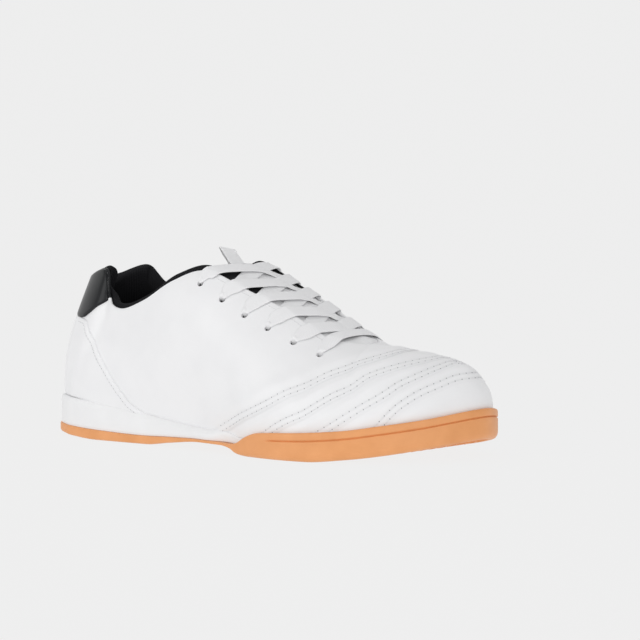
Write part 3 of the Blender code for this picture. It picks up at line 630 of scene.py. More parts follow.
def onUpper(r, v, out=0.0):  # the dressed wall, with its relief
    r, v = np.broadcast_arrays(np.asarray(r, float), np.asarray(v, float))
    return wallOffset(r, v, vampRelief(r, v)[0] + out)


def upperColumns():
    turn = shoe["throatTop"] - 0.5
    fine, coarse = upperLook["vampSteps"], upperLook["heelSteps"]
    rings = np.concatenate([np.arange(0, turn, 1 / coarse), np.arange(turn, ring - turn, 1 / fine),
                            np.arange(ring - turn, ring, 1 / coarse)])
    return np.round(rings * 60) / 60


def buildUpper():
    rings = upperColumns()
    shares = np.linspace(0.0, 1.0, upperLook["wallSteps"] + 1)
    r, v = np.meshgrid(rings, shares, indexing="ij")
    lift, seam = vampRelief(r, v)
    normal = wallNormal(r, v)
    mirror = np.argmin(np.abs((ring - rings)[:, None] % ring - rings[None]), axis=1)
    zipped = nearSide(rings) >= shoe["throatFront"]
    crest = unit(normal[:, -1] + normal[mirror, -1])
    normal[zipped, -1] = crest[zipped]
    outer = wallPoint(r, v) + normal * lift[..., None]
    wall = shoe["wall"]
    # rounded edge of collar and throat
    step = np.where(rings < toe, -1e-3, 1e-3)
    along = unit((ribTop(rings) - ribTop(rings + step)) * np.where(rings < toe, 1.0, -1.0)[:, None])
    facing = unit(np.cross(normal[:, -1], along))
    angles = np.linspace(0, math.pi, upperLook["rimSteps"] + 2)[1:-1]
    centre = outer[:, -1] - normal[:, -1] * wall / 2
    rim = [centre + wall / 2 * (math.cos(a) * normal[:, -1] + math.sin(a) * facing) for a in angles]
    innerShares = np.linspace(1.0, 0.0, upperLook["innerSteps"] + 1)
    ri, vi = np.meshgrid(rings, innerShares, indexing="ij")
    innerNormal = wallNormal(ri, vi)
    innerNormal[zipped, 0] = crest[zipped]
    inner = wallPoint(ri, vi) - innerNormal * wall
    inner[:, 0] = outer[:, -1] - normal[:, -1] * wall
    strip = np.concatenate([outer, np.stack(rim, 1), inner], 1)
    rows = strip.shape[1]
    faces, kinds = [], []  # kinds: 0 leather, 1 lining, 2 patent
    outerRows, rimRows = outer.shape[1], len(rim)
    first, last = upperLook["blackThroat"]
    for face in stripFaces(len(rings), rows, closedRows=True, closedColumns=True):
        column, row = divmod(face[0], rows)
        atRim = outerRows - 1 <= row < outerRows + rimRows
        if atRim and zipped[column] and zipped[(column + 1) % len(rings)]:
            continue
        faces.append(face)
        near, inside = nearSide(rings[column]), outerRows + rimRows <= row < rows - 1
        if atRim and near < upperLook["blackRim"]:
            kinds.append(2)
        elif atRim:
            kinds.append(1 if first < near < last and row > outerRows else 0)
        else:
            kinds.append(1 if inside and near < last else 0)
    # painted shade along the stitch grooves and panel edges, on the outer face only
    shade = np.zeros(strip.shape[:2])
    shade[:, :outerRows] = seam
    uv = np.stack([np.broadcast_to((rings * 0.02)[:, None], strip.shape[:2]),
                   np.broadcast_to(np.arange(rows) * 0.001, strip.shape[:2])], -1)
    piece = addPiece("upperShell", strip.reshape(-1, 3), faces, [leather, lining, patent], "white_leather",
                     ["upper"], uv=uv.reshape(-1, 2), values={"seam": shade.ravel()}, faceMaterial=kinds)
    punchEyelets(piece)


def punchEyelets(piece):
    form, radius = bmesh.new(), upperLook["eyeletRadius"]
    for k, v in eyelets:
        for r in (k, ring - k):
            centre, normal = wallPoint(r, v) - origin, wallNormal(r, v)
            turn = Vector(normal).to_track_quat("Z", "Y").to_matrix().to_4x4()
            bmesh.ops.create_cone(
                form, cap_ends=True, segments=20, radius1=radius * 0.9, radius2=radius * 1.12, depth=0.007,
                matrix=Matrix.Translation(Vector(centre)) @ turn)
    mesh = bpy.data.meshes.new("punch")
    form.to_mesh(mesh)
    form.free()
    punch = bpy.data.objects.new("punch", mesh)
    bpy.context.scene.collection.objects.link(punch)
    step = piece.modifiers.new("eyelets", "BOOLEAN")
    step.operation = "DIFFERENCE"
    step.solver = "EXACT"
    step.object = punch
    scene = bpy.context.evaluated_depsgraph_get()
    cut = bpy.data.meshes.new_from_object(piece.evaluated_get(scene), depsgraph=scene)
    piece.modifiers.remove(step)
    piece.data = cut
    bpy.data.objects.remove(punch, do_unlink=True)


buildUpper()


# sole

soleLook = {
    "steps": 14,  # columns between two ribs
    "grooveDepth": 0.0009,
    "grooveTurn": (0.190, 0.196),
    "grooveShare": 0.715,
    "edgeRound": 0.0009,
    "treadInset": 0.0045,
    "treadDepth": 0.0011,
    "insoleThick": 0.0040,
    "insolePlay": 0.0008,
    "heelNotch": 0.00045,
    "notchTurn": (0.006, 0.020),
    "lipFade": (0.022, 0.058),
    "apart": 0.0002,  # keeps two close rings from meeting
}
soleRing = np.arange(ring * soleLook["steps"]) / soleLook["steps"]
soleX = around(edgeRing, soleRing)[:, 0]


def ringAt(inset, zOf):
    inset = inset(soleX) if callable(inset) else np.full(soleX.shape, inset)
    plan = soleEdge(soleRing, inset)
    return np.concatenate([plan, zOf(plan[:, 0])[:, None]], 1)


def midsoleInset(x):
    step = shoe["midsoleStep"]
    return step + (shoe["cupWall"] + shoe["gap"] - step) * ease(x, shoe["midsoleTurn"])


def buildOutsole():
    def side(share):
        return lambda x: height("ground", x) + share * (height("gumTop", x) - height("ground", x))

    def sunk(amount):
        return lambda x: amount * soleLook["grooveDepth"] * ease(x, soleLook["grooveTurn"])

    def cupMouth(x):
        deep = np.clip(height("gumTop", x) - height("footbed", x), 0, None)
        return shoe["cupWall"] - shoe["mouthLean"] * deep

    def cupFoot(x):
        return np.minimum(height("footbed", x), height("gumTop", x) - apart)

    edge, mid = soleLook["edgeRound"], soleLook["grooveShare"]
    tread, apart = soleLook["treadInset"], soleLook["apart"]
    lowerWall = ((0.0026, 0.0), (0.0013, 0.035), (0.0005, 0.10), (0.0001, 0.18), (0.0, 0.28), (0.0, 0.45),
                 (0.0, mid - 0.060), (0.0, mid - 0.034))
    groove = ((0.25, -0.025), (0.85, -0.014), (1.0, 0.0), (0.85, 0.014), (0.25, 0.025))
    upperWall = ((0.0, mid + 0.034), (0.0, mid + 0.08), (0.0, 0.90),
                 (0.15 * edge, 0.945), (0.45 * edge, 0.98), (edge, 1.0))
    rings = [ringAt(tread + 0.0012, lambda x: height("ground", x) + soleLook["treadDepth"])]
    rings.append(ringAt(tread, side(0.0)))
    rings += [ringAt(inset, side(share)) for inset, share in lowerWall]
    rings += [ringAt(sunk(depth), side(mid + share)) for depth, share in groove]
    rings += [ringAt(inset, side(share)) for inset, share in upperWall]
    rings.append(ringAt(lambda x: np.maximum(cupMouth(x) - apart, edge + apart), side(1.0)))
    rings.append(ringAt(cupMouth, side(0.985)))
    rings.append(ringAt(shoe["cupWall"], cupFoot))
    rings.append(ringAt(shoe["cupWall"] + shoe["gap"] / 2, lambda x: height("gumFloor", x) - apart))
    addPiece("gumOutsole", *closedRings(rings), [gum], "gum_rubber", ["outsole"], sharp=60)


def buildMidsole():
    edge, fade = soleLook["edgeRound"], soleLook["lipFade"]

    def lipFoot(x):
        return np.maximum(featherInset(x) - shoe["gap"], midsoleInset(x) + 0.0007)

    def lipMouth(x):
        return lipFoot(x) - shoe["mouthLean"] * np.clip(height("lipTop", x) - height("footbed", x), 0, None)

    def notch(amount):  # a short line above the gum at the back of the heel
        deep = amount * soleLook["heelNotch"]
        return lambda x: midsoleInset(x) + deep * (1 - ease(x, soleLook["notchTurn"]))

    def wallFoot(x):
        return height("gumFloor", x) + 0.2 * shoe["gap"]

    def wallAt(share):
        return lambda x: wallFoot(x) + share * (height("lipTop", x) - wallFoot(x))

    def bevel(x):  # the lip thins out towards the arch
        return edge + (lipMouth(x) - midsoleInset(x) - soleLook["apart"] - edge) * ease(x, fade)

    def rounded(heel, arch):
        return lambda x: midsoleInset(x) + (heel + (arch - heel) * ease(x, fade)) * bevel(x)

    rings = [ringAt(lambda x: midsoleInset(x) + 0.15 * edge, wallAt(0.0)), ringAt(midsoleInset, wallAt(0.02))]
    for share, amount in ((0.13, 0.0), (0.15, 0.7), (0.17, 1.0), (0.19, 0.7), (0.21, 0.0)):
        rings.append(ringAt(notch(amount), wallAt(share)))
    for share, heel, arch in ((0.35, 0.0, 0.05), (0.55, 0.0, 0.16), (0.75, 0.02, 0.38), (0.86, 0.10, 0.60),
                              (0.93, 0.28, 0.78), (0.975, 0.6, 0.92), (1.0, 1.0, 1.0)):
        rings.append(ringAt(rounded(heel, arch), wallAt(share)))
    rings.append(ringAt(lambda x: lipMouth(x) + 0.0004, wallAt(1.0)))
    rings.append(ringAt(lipFoot, lambda x: height("footbed", x)))
    addPiece("midsoleWedge", *closedRings(rings), [foam], "white_foam", ["midsole"], sharp=60)


def buildInsole():
    def edgeInset(more):
        return lambda x: featherInset(x) + shoe["wall"] + soleLook["insolePlay"] + more

    def lifted(z):
        return lambda x: height("footbed", x) + 2 * shoe["gap"] + z

    crown = ((0.0, 0.0), (0.0, 0.7), (0.0003, 0.88), (0.0010, 0.97),
             (0.0022, 1.0), (0.006, 0.96), (0.012, 0.90), (0.018, 0.86))
    rings = [ringAt(edgeInset(more), lifted(share * soleLook["insoleThick"])) for more, share in crown]
    points, faces = closedRings(rings)
    addPiece("insoleSheet", points, faces, [lining], "black_textile", ["insole"], uv=points[:, :2])


buildOutsole()
buildMidsole()
buildInsole()


# heel pieces

heelLook = {
    "counterThick": 0.0012,
    "counterReach": 5.8,  # in ribs from the middle of the heel
    "counterSink": 0.0016,  # it goes down behind the lip towards the arch
    "tabThick": 0.0012,
    "tabReach": 3.05,
    "edge": 0.0016,  # width of the rounded edge
    "steps": 24,
}
# ring, height in mm: lower edge of the tab, upper edge of the counter
tabEdge = ((0, 71.0), (0.7, 69.8), (1.3, 67.9), (1.6, 68.4), (1.9, 71.2), (2.3, 75.2), (2.7, 77.2),
           (3.05, 78.4))
counterEdge = ((0, 70.2), (0.7, 69.4), (1.42, 68.1), (1.78, 67.2), (2.6, 59.2), (3.82, 50.2), (4.48, 41.8),
               (4.78, 35.2), (5.08, 27.8), (5.3, 22.0), (5.58, 17.9), (5.85, 14.9))


def overlay(name, reach, lowOf, highOf, rows, thick, material, slotName, nodes):
    r = np.linspace(-reach, reach, int(2 * reach * heelLook["steps"]) + 1)
    low, high = lowOf(r), highOf(r)
    shares = 0.5 - 0.5 * np.cos(np.linspace(0, math.pi, rows))
    v = low[:, None] + np.clip(high - low, 0.0, None)[:, None] * shares
    rr = np.broadcast_to(r[:, None], v.shape)
    flat = wallPoint(rr, v)
    borders = (flat[:, :1], flat[:, -1:], flat[:1], flat[-1:])
    inward = np.min([np.linalg.norm(flat - border, axis=-1) for border in borders], axis=0)
    t = np.clip(inward / heelLook["edge"], 0.0, 1.0)
    out = shoe["gap"] * 0.5 + thick * np.sqrt(1 - (1 - t) ** 2)
    normal = wallNormal(rr, v)
    outer = flat + normal * out[..., None]
    inner = flat + normal * 0.00005
    loops = np.concatenate([outer, inner[:, ::-1]], 1)
    count = loops.shape[1]
    faces = stripFaces(len(r), count, closedColumns=True)
    faces += endCap(0, count) + endCap((len(r) - 1) * count, count)
    # no painted shade on the overlays
    addPiece(name, loops.reshape(-1, 3), faces, [material], slotName, nodes,
             values={"seam": np.zeros(len(r) * count)})


def counterLow(r):
    x = wallPoint(r, np.zeros(r.shape))[:, 0]
    return level(r, height("lipTop", x) + 0.0002 - heelLook["counterSink"] * ease(x, soleLook["lipFade"]))


def counterHigh(r):
    return level(r, fromTable(counterEdge, r) * mm)


def tabLow(r):
    return level(r, fromTable(tabEdge, r) * mm)


overlay("heelCounter", heelLook["counterReach"], counterLow, counterHigh, 40, heelLook["counterThick"],
        leather, "white_leather", ["heel_counter"])
overlay("heelTab", heelLook["tabReach"], tabLow, np.ones_like, 26, heelLook["tabThick"], patent,
        "black_patent", ["heel_tab"])


# collar lining

collarLook = {
    "end": 8.12,
    "steps": 20,
    "upright": 0.9,  # how much it stands up instead of leaning in
}
# ring, mm: padding, and how far it stands above the edge on both sides
collarPadding = ((0, 5.5), (6, 5.5), (7, 3.2), (8.12, 1.6))
collarRise = {
    "outer": ((0, 1.6), (1, 2.4), (2, 3.0), (3, 4.0), (4, 4.2), (5, 4.2), (6, 4.4), (7, 5.6), (7.7, 5.6),
              (8.12, 5.2)),
    "inner": ((0, 1.6), (1, 2.0), (2, 2.2), (3, 8.0), (4, 8.0), (5, 5.5), (6, 4.0), (7, 4.4), (7.75, 6.1),
              (8.12, 4.8)),
}
collarSection = (  # share of the wall, of the rise above its edge, of the padding
    (0.50, 0.0, 0.0), (0.68, 0.0, 0.0), (0.86, 0.0, 0.0), (1.0, 0.0, 0.0),
    (1.0, 0.82, 0.05), (1.0, 1.0, 0.28), (1.0, 0.7, 0.78),
    (1.0, 0.0, 1.0), (0.85, 0.0, 1.0), (0.68, 0.0, 0.70), (0.50, 0.0, 0.28),
)


def buildCollar():
    end = collarLook["end"]
    v, lift, pad = openCurve(collarSection, 44).T
    v, lift, pad = np.clip(v, 0.5, 1.0), np.clip(lift, 0, 1.04), np.clip(pad, 0, 1.02)
    loops, uv = [], []
    rings = np.linspace(-end, end, int(2 * end * collarLook["steps"]) + 1)
    for r in rings:
        onward = unit(ribEnds(np.array([r]))[4][0] + np.array([0, 0, collarLook["upright"]]))
        rise = fromTable(collarRise["outer" if r > 0 else "inner"], r) * mm
        depth = shoe["wall"] + shoe["gap"] + pad * fromTable(collarPadding, r) * mm
        loop = wallOffset(np.full(v.shape, r), v, -depth) + (lift * rise)[:, None] * onward
        loops.append(loop)
        run = np.concatenate([[0.0], np.cumsum(np.linalg.norm(np.diff(loop, axis=0), axis=1))])
        uv.append(np.stack([np.full(run.shape, r * 0.018), run], 1))
    points, faces = sweptLoops(loops)
    piece = addPiece("collarPad", points, faces, [lining], "black_textile", ["collar_lining"],
                     uv=np.concatenate(uv), sharp=70)


buildCollar()


# tongue

tongueLook = {
    "thick": 0.0032,
    "clear": 0.0009,  # space between the tongue and the wall over it
    "top": 7.9,
    "end": 13.4,
    "rows": 110,
    "columns": 60,
    "blackTo": 9.32,
    "paleAt": 0.53,  # the middle strip is pale to the top
    "paleMiddle": (0.12, 0.16),
    "puff": 0.0010,  # it swells between the edges of the throat
    "ridge": 0.0013,
    "ridgeAt": 0.57,
    "ridgeWidth": 0.17,
    "front": 0.0015,
    "frontTurn": (10.8, 11.3),
    "flatFrom": (11.60, 12.00),  # and lies flat where the vamp covers it
}
tongueReach = ((7.9, 0.001), (8.1, 0.01), (8.9, 0.10), (13.4, 0.13))


def makeTongueCloth():
    tones = finishes["tongue"]
    material, tree, shader, pale = makeWoven("tongueCloth", tones, 0.80, 0.0012, 0.0, 0.35)
    change = tree.nodes.new("ShaderNodeMapRange")
    change.inputs["From Min"].default_value = tongueLook["blackTo"] - 0.01
    change.inputs["From Max"].default_value = tongueLook["blackTo"] + 0.01
    tree.links.new(readValue(tree, "alongTongue"), change.inputs["Value"])
    colour = blendTone(tree, change.outputs["Result"], tones["top"], pale)
    tree.links.new(colour, shader.inputs["Base Color"])
    return material


def buildTongue():
    look = tongueLook
    ks = np.linspace(look["top"], look["end"], look["rows"])
    outer, across = [], []
    qs = np.linspace(-1.0, 2.0, 91)
    for k in ks:
        kept = qs
        if k >= shoe["throatFront"]:  # its sides meet here
            kept = qs[np.abs(qs - 0.5) > 0.55]
        path = overInstep(k, -shoe["wall"] - look["clear"], kept, 1.0 - fromTable(tongueReach, k))
        both = evenly(np.concatenate([path, kept[:, None]], 1), look["columns"])
        outer.append(both[:, :3])
        across.append(both[:, 3])
    outer, across = np.array(outer), np.array(across)
    normal = unit(np.cross(np.gradient(outer, axis=1), np.gradient(outer, axis=0)))
    normal = normal * np.where(normal[..., 2:] < 0, -1.0, 1.0)
    inner = outer - normal * look["thick"]
    puff = (look["puff"] + look["front"] * ease(ks, look["frontTurn"]))[:, None]
    puff = puff * ease(across, (0, 0.1)) * (1 - ease(across, (0.9, 1)))
    puff = puff + look["ridge"] * bell(across - look["ridgeAt"], look["ridgeWidth"])
    puff = puff * (1 - ease(ks, look["flatFrom"]))[:, None]
    outer = outer + normal * puff[..., None]
    down = np.clip(np.arange(look["rows"]) / 3, 0, 1)
    roll = np.sqrt(1 - (1 - down) ** 2)  # rounded top edge
    middle = 0.5 * (outer + inner)
    outer = middle + (outer - middle) * roll[:, None, None]
    inner = middle + (inner - middle) * roll[:, None, None]
    loops = np.concatenate([outer, inner[:, ::-1]], 1)
    count = loops.shape[1]
    faces = stripFaces(len(ks), count, closedColumns=True) + endCap((len(ks) - 1) * count, count)
    along = np.broadcast_to(ks[:, None], loops.shape[:2])
    aside = np.abs(np.concatenate([across, across[:, ::-1]], 1) - look["paleAt"])
    shade = along + 1.2 * (1 - ease(aside, look["paleMiddle"]))
    uv = np.stack([along * 0.02, np.broadcast_to(np.arange(count) * 0.0011, loops.shape[:2])], -1)
    addPiece("tonguePad", loops.reshape(-1, 3), faces, [makeTongueCloth()], "tongue_textile", ["tongue"],
             uv=uv.reshape(-1, 2), values={"alongTongue": shade.ravel()})


buildTongue()


# laces

laceLook = {
    "width": 0.0098,
    "pinched": 0.0030,  # width in the eyelet
    "spread": (0.0030, 0.0120),  # it widens over this length
    "pressed": (0.0070, 0.0030),  # and is thinner this far from the end that goes under an edge
    "throughHole": ((0.0010, -0.0036), (0.0012, -0.0016), (0.0018, 0.0006)),  # up the wall, out of it
    "thick": 0.0009,
    "over": 0.0007,  # middle of the lace above the wall
    "under": -0.0012,
    "hump": 0.0011,  # the outer lace climbs over the inner one
    "humpWidth": 0.16,
    "barHump": 0.0010,
    "barWidth": 0.45,
    "dive": (0.52, 0.74),
    "lastDive": (0.40, 0.62),
    "drift": 0.26,  # how far, in ribs, the top pair bends towards the toe
    "bowFrom": -0.35,
    "first": -0.82,  # shares of the way from edge to edge where a lace starts and ends
    "crossLast": 1.10,
    "barLast": 1.82,
    "tuck": (0.86, 1.0),
    "endUnder": -0.0013,  # the free end starts under the top crossing
    "endRings": (8.55, 8.30, 8.05),
    "steps": 96,
}
# the free end, in mm
endGuide = ((121.8, 2.6, 102), (118.4, 2.4, 106.3), (116.4, 2.8, 108), (115.2, 4.2, 107.4), (115.4, 5.8, 105),
            (116.8, 7.4, 101.5), (117.8, 8, 96.5), (117.8, 8, 90), (117.4, 8, 84), (117, 8, 77))


def laceGround(row, endRow, outerSide, shares, drift):  # surface under a lace, nearly straight from above
    (kStart, vEdge), (kEnd, vEnd) = eyelets[row], eyelets[endRow]
    start = wallPoint(kStart if outerSide else ring - kStart, vEdge)
    run = wallPoint(ring - kEnd if outerSide else kEnd, vEnd) - start
    qs = shares if outerSide else 1.0 - shares
    ks = np.linspace(kStart - 0.5, kEnd + 0.5, 25)
    grid = np.array([overInstep(k, 0.0, qs, vEdge) for k in ks])
    normal = unit(np.cross(np.gradient(grid, ks, axis=0), np.gradient(grid, qs, axis=1)))
    normal = normal * np.sign(normal[..., 2:])
    lead = ((grid - start)[..., 0] * run[1] - (grid - start)[..., 1] * run[0]) * np.sign(run[1])
    points, ups = [], []
    bow = drift * np.clip((shares - laceLook["bowFrom"]) / (1.0 - laceLook["bowFrom"]), 0.0, 1.0)
    for j in range(len(qs)):
        at = np.interp(0.0, lead[:, j], ks) + bow[j]
        points.append([np.interp(at, ks, grid[:, j, axis]) for axis in range(3)])
        ups.append([np.interp(at, ks, normal[:, j, axis]) for axis in range(3)])
    return np.array(points), unit(np.array(ups))


def eyeletStart(row, outerSide):  # from inside the shoe out through the hole
    k, v = eyelets[row]
    r = k if outerSide else ring - k
    normal = wallNormal(r, v)
    upward = unit(wallPoint(r, v + 0.06) - wallPoint(r, v))
    path = [wallPoint(r, v) + upward * up + normal * out for up, out in laceLook["throughHole"]]
    return np.array(path), np.array([-upward, unit(0.2 * normal - upward), unit(normal - 0.6 * upward)])


def smoothVectors(vectors, rounds):
    for _ in range(rounds):
        padded = np.concatenate([vectors[:1], vectors, vectors[-1:]])
        vectors = unit(0.25 * padded[:-2] + 0.5 * padded[1:-1] + 0.25 * padded[2:])
    return vectors


def ribbon(name, points, ups, pinchedEnds, nodes):
    both = evenly(openCurve(np.concatenate([points, ups], 1), 500), laceLook["steps"])
    path, up = both[:, :3], smoothVectors(unit(both[:, 3:]), 3)
    length = np.concatenate([[0.0], np.cumsum(np.linalg.norm(np.diff(path, axis=0), axis=1))])
    spread = ease(length, laceLook["spread"])
    if pinchedEnds > 1:
        spread = np.minimum(spread, spread[::-1])
    if not pinchedEnds:
        spread = np.ones(len(path))
    width = laceLook["pinched"] + (laceLook["width"] - laceLook["pinched"]) * spread
    thick = laceLook["thick"] * (1.6 - 0.6 * spread)
    if pinchedEnds == 1:
        thick = thick * (1 - 0.45 * ease(length, length[-1] - np.array(laceLook["pressed"])))
    side = unit(np.cross(unit(np.gradient(path, axis=0)), up))
    face = unit(np.cross(side, np.gradient(path, axis=0)))
    angles = np.linspace(0, math.tau, 24, endpoint=False)
    flatX = np.sign(np.cos(angles)) * np.abs(np.cos(angles)) ** 0.5
    flatY = np.sign(np.sin(angles)) * np.abs(np.sin(angles)) ** 0.8
    loops = path[:, None] + side[:, None] * (width[:, None] / 2 * flatX)[..., None]
    loops = loops + face[:, None] * (thick[:, None] / 2 * flatY)[..., None]
    uv = np.stack([np.broadcast_to(length[:, None], loops.shape[:2]),
                   np.broadcast_to(laceLook["width"] / 2 * flatX, loops.shape[:2])], -1)
    tube, faces = sweptLoops(loops)
    piece = addPiece(name, tube, faces, [laceCloth], "lace_textile", nodes, uv=uv.reshape(-1, 2), sharp=75)
    return piece, path, length[-1]


def buildLaces():
    look, last = laceLook, len(eyelets) - 1
    for row in range(last):
        dive = look["lastDive"] if row + 1 == last else look["dive"]
        drift = look["drift"] * (1 - (row / (last - 1)) ** 4)
        for outerSide, hump, nodes in ((True, look["hump"], [f"lace_cross_{row + 1}"]), (False, 0.0, [])):
            shares = np.linspace(look["first"], look["crossLast"], 50)
            ground, up = laceGround(row, row + 1, outerSide, shares, drift)
            out = look["over"] + (look["under"] - look["over"]) * ease(shares, dive)
            out = out + hump * bell(shares - 0.5, look["humpWidth"])
            out = out + (-shoe["wall"] - look["thick"] / 2 - out) * ease(shares, look["tuck"])
            start, startUp = eyeletStart(row, outerSide)
            points = np.concatenate([start, ground + up * out[:, None]])
            name = f"laceCross{row + 1}" + ("Over" if outerSide else "Under")
            ribbon(name, points, np.concatenate([startUp, up]), 1, nodes)
    shares = np.linspace(look["first"], look["barLast"], 50)
    ground, up = laceGround(last, last, True, shares, 0.0)
    out = look["over"] + shoe["gap"] + look["barHump"] * bell(shares - 0.5, look["barWidth"])
    (start, startUp), (end, endUp) = eyeletStart(last, True), eyeletStart(last, False)
    ribbon("laceBar", np.concatenate([start, ground + up * out[:, None], end[::-1]]),
           np.concatenate([startUp, up, endUp[::-1]]), 2, ["lace_bar"])


def carried(path, up):  # the upward side, carried along a path without twist
    ups = []
    for run in np.gradient(path, axis=0):
        up = up - run * np.dot(up, run) / np.dot(run, run)
        ups.append(up / np.linalg.norm(up))
    return np.array(ups)


def buildLaceEnd():
    across, edge = np.array([0.45, 0.5, 0.55]), eyelets[0][1]
    hidden = np.array([overInstep(k, laceLook["endUnder"], across, edge) for k in laceLook["endRings"]])
    up = np.cross(hidden[1, 1] - hidden[0, 1], hidden[0, 0] - hidden[0, 2])
    points = openCurve(np.concatenate([hidden[:, 1], np.array(endGuide) * mm]), 120)
    piece, path, length = ribbon("laceEnd", points, carried(points, up * np.sign(up[2])), 0, ["lace_end"])
    print("lace end", round(length * 1000, 1), "mm")


buildLaces()
buildLaceEnd()


# stitches, set along lines on the wall by geometry nodes

stitchLook = {"pitch": 0.0039, "length": 0.0031, "width": 0.00055, "height": 0.00034, "hole": 0.00036}


def newTree(name, sizes, materials):
    tree = bpy.data.node_groups.new(name, "GeometryNodeTree")
    face = tree.interface
    face.new_socket("Geometry", in_out="INPUT", socket_type="NodeSocketGeometry")
    for label in sizes:
        face.new_socket(label, in_out="INPUT", socket_type="NodeSocketFloat")
    for label in materials:
        face.new_socket(label, in_out="INPUT", socket_type="NodeSocketMaterial")
    face.new_socket("Geometry", in_out="OUTPUT", socket_type="NodeSocketGeometry")
    return tree, tree.nodes.new("NodeGroupInput"), tree.nodes.new("NodeGroupOutput")


def readVector(tree, name):
    node = tree.nodes.new("GeometryNodeInputNamedAttribute")
    node.data_type = "FLOAT_VECTOR"
    node.inputs["Name"].default_value = name
    return node.outputs["Attribute"]


def barSize(tree, given):
    size = tree.nodes.new("ShaderNodeCombineXYZ")
    for label, axis in (("Length", "X"), ("Width", "Y"), ("Height", "Z")):
        tree.links.new(given.outputs[label], size.inputs[axis])
    return size.outputs[0]


def setOnPoints(tree, points, shape, rotation, material):  # instances, made real and painted
    add, link = tree.nodes.new, tree.links.new
    place = add("GeometryNodeInstanceOnPoints")
    link(points, place.inputs["Points"])
    link(shape, place.inputs["Instance"])
    link(rotation, place.inputs["Rotation"])
    real = add("GeometryNodeRealizeInstances")
    link(place.outputs["Instances"], real.inputs["Geometry"])
    paint = add("GeometryNodeSetMaterial")
    link(real.outputs["Geometry"], paint.inputs["Geometry"])
    link(material, paint.inputs["Material"])
    return paint.outputs["Geometry"]


def makeStitchTree():
    sizes = ("Pitch", "Length", "Width", "Height", "Hole")
    tree, given, made = newTree("stitchLine", sizes, ("Thread", "PinholeShade"))
    add, link = tree.nodes.new, tree.links.new
    curve = add("GeometryNodeMeshToCurve")
    link(given.outputs["Geometry"], curve.inputs["Mesh"])
    points = add("GeometryNodeCurveToPoints")
    points.mode = "LENGTH"
    link(curve.outputs["Curve"], points.inputs["Curve"])
    link(given.outputs["Pitch"], points.inputs["Length"])
    first = add("FunctionNodeAlignRotationToVector")
    first.axis = "X"
    link(points.outputs["Tangent"], first.inputs["Vector"])
    second = add("FunctionNodeAlignRotationToVector")
    second.axis = "Z"
    second.pivot_axis = "X"
    link(first.outputs["Rotation"], second.inputs["Rotation"])
    link(readVector(tree, "wallUp"), second.inputs["Vector"])
    half = add("ShaderNodeMath")
    half.operation = "MULTIPLY"
    half.inputs[1].default_value = 0.5
    link(given.outputs["Pitch"], half.inputs[0])
    shift = add("ShaderNodeCombineXYZ")
    link(half.outputs[0], shift.inputs["X"])
    ball = add("GeometryNodeMeshUVSphere")
    ball.inputs["Segments"].default_value = 8
    ball.inputs["Rings"].default_value = 5
    ball.inputs["Radius"].default_value = 0.5
    bar = add("GeometryNodeTransform")
    link(ball.outputs["Mesh"], bar.inputs["Geometry"])
    link(shift.outputs[0], bar.inputs["Translation"])
    link(barSize(tree, given), bar.inputs["Scale"])
    # a flat grey disc at each stitch, painted shade of its needle hole
    dot = add("GeometryNodeMeshCircle")
    dot.fill_type = "NGON"
    dot.inputs["Vertices"].default_value = 8
    link(given.outputs["Hole"], dot.inputs["Radius"])
    parts = add("GeometryNodeJoinGeometry")
    places, rotation = points.outputs["Points"], second.outputs["Rotation"]
    for shape, label in ((bar.outputs["Geometry"], "Thread"), (dot.outputs["Mesh"], "PinholeShade")):
        placed = setOnPoints(tree, places, shape, rotation, given.outputs[label])
        link(placed, parts.inputs["Geometry"])
    link(parts.outputs["Geometry"], made.inputs["Geometry"])
    return tree


stitchTree = makeStitchTree()


def runTree(name, tree, points, edges, vectorName, vectors, values):  # a plain mesh from a tree
    mesh = bpy.data.meshes.new(name + "Base")
    mesh.from_pydata(points, edges, [])
    attribute = mesh.attributes.new(vectorName, "FLOAT_VECTOR", "POINT")
    attribute.data.foreach_set("vector", np.array(vectors, np.float32).ravel())
    base = bpy.data.objects.new(name + "Base", mesh)
    bpy.context.scene.collection.objects.link(base)
    modifier = base.modifiers.new(name, "NODES")
    modifier.node_group = tree
    sockets = {item.name: item.identifier for item in tree.interface.items_tree if item.in_out == "INPUT"}
    for label, value in values.items():
        modifier[sockets[label]] = value
    scene = bpy.context.evaluated_depsgraph_get()
    made = bpy.data.meshes.new_from_object(base.evaluated_get(scene), depsgraph=scene)
    bpy.data.objects.remove(base, do_unlink=True)
    piece = bpy.data.objects.new(name, made)
    bpy.context.scene.collection.objects.link(piece)
    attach(piece, "root")
    print(name, len(made.polygons), "faces")


def sewLines(name, lines, lift, **change):
    points, edges, ups = [], [], []
    for r, v, out in lines:
        start = len(points)
        points += (onUpper(r, v, out + lift) - origin).tolist()
        ups += wallNormal(r, v).tolist()
        edges += [(start + i, start + i + 1) for i in range(len(r) - 1)]
    values = {label.capitalize(): value for label, value in {**stitchLook, **change}.items()}
    values.update({"Thread": thread, "PinholeShade": needleHoleShade})
    runTree(name, stitchTree, points, edges, "wallUp", ups, values)


def beside(r, v, shift):  # a line moved sideways over the wall
    flat = wallPoint(r, v)
    run = unit(np.gradient(flat, axis=0))
    aside = np.cross(wallNormal(r, v), run) * shift
    dr = (wallPoint(r + 0.02, v) - wallPoint(r - 0.02, v)) / 0.04
    lower, upper = np.clip(v - 0.01, 0, 1), np.clip(v + 0.01, 0, 1)
    dv = (wallPoint(r, upper) - wallPoint(r, lower)) / (upper - lower)[:, None]
    rr, rv, vv = (dr * dr).sum(1), (dr * dv).sum(1), (dv * dv).sum(1)
    ar, av = (aside * dr).sum(1), (aside * dv).sum(1)
    bottom = rr * vv - rv * rv
    return r + (ar * vv - av * rv) / bottom, np.clip(v + (av * rr - ar * rv) / bottom, 0.0, 1.0)


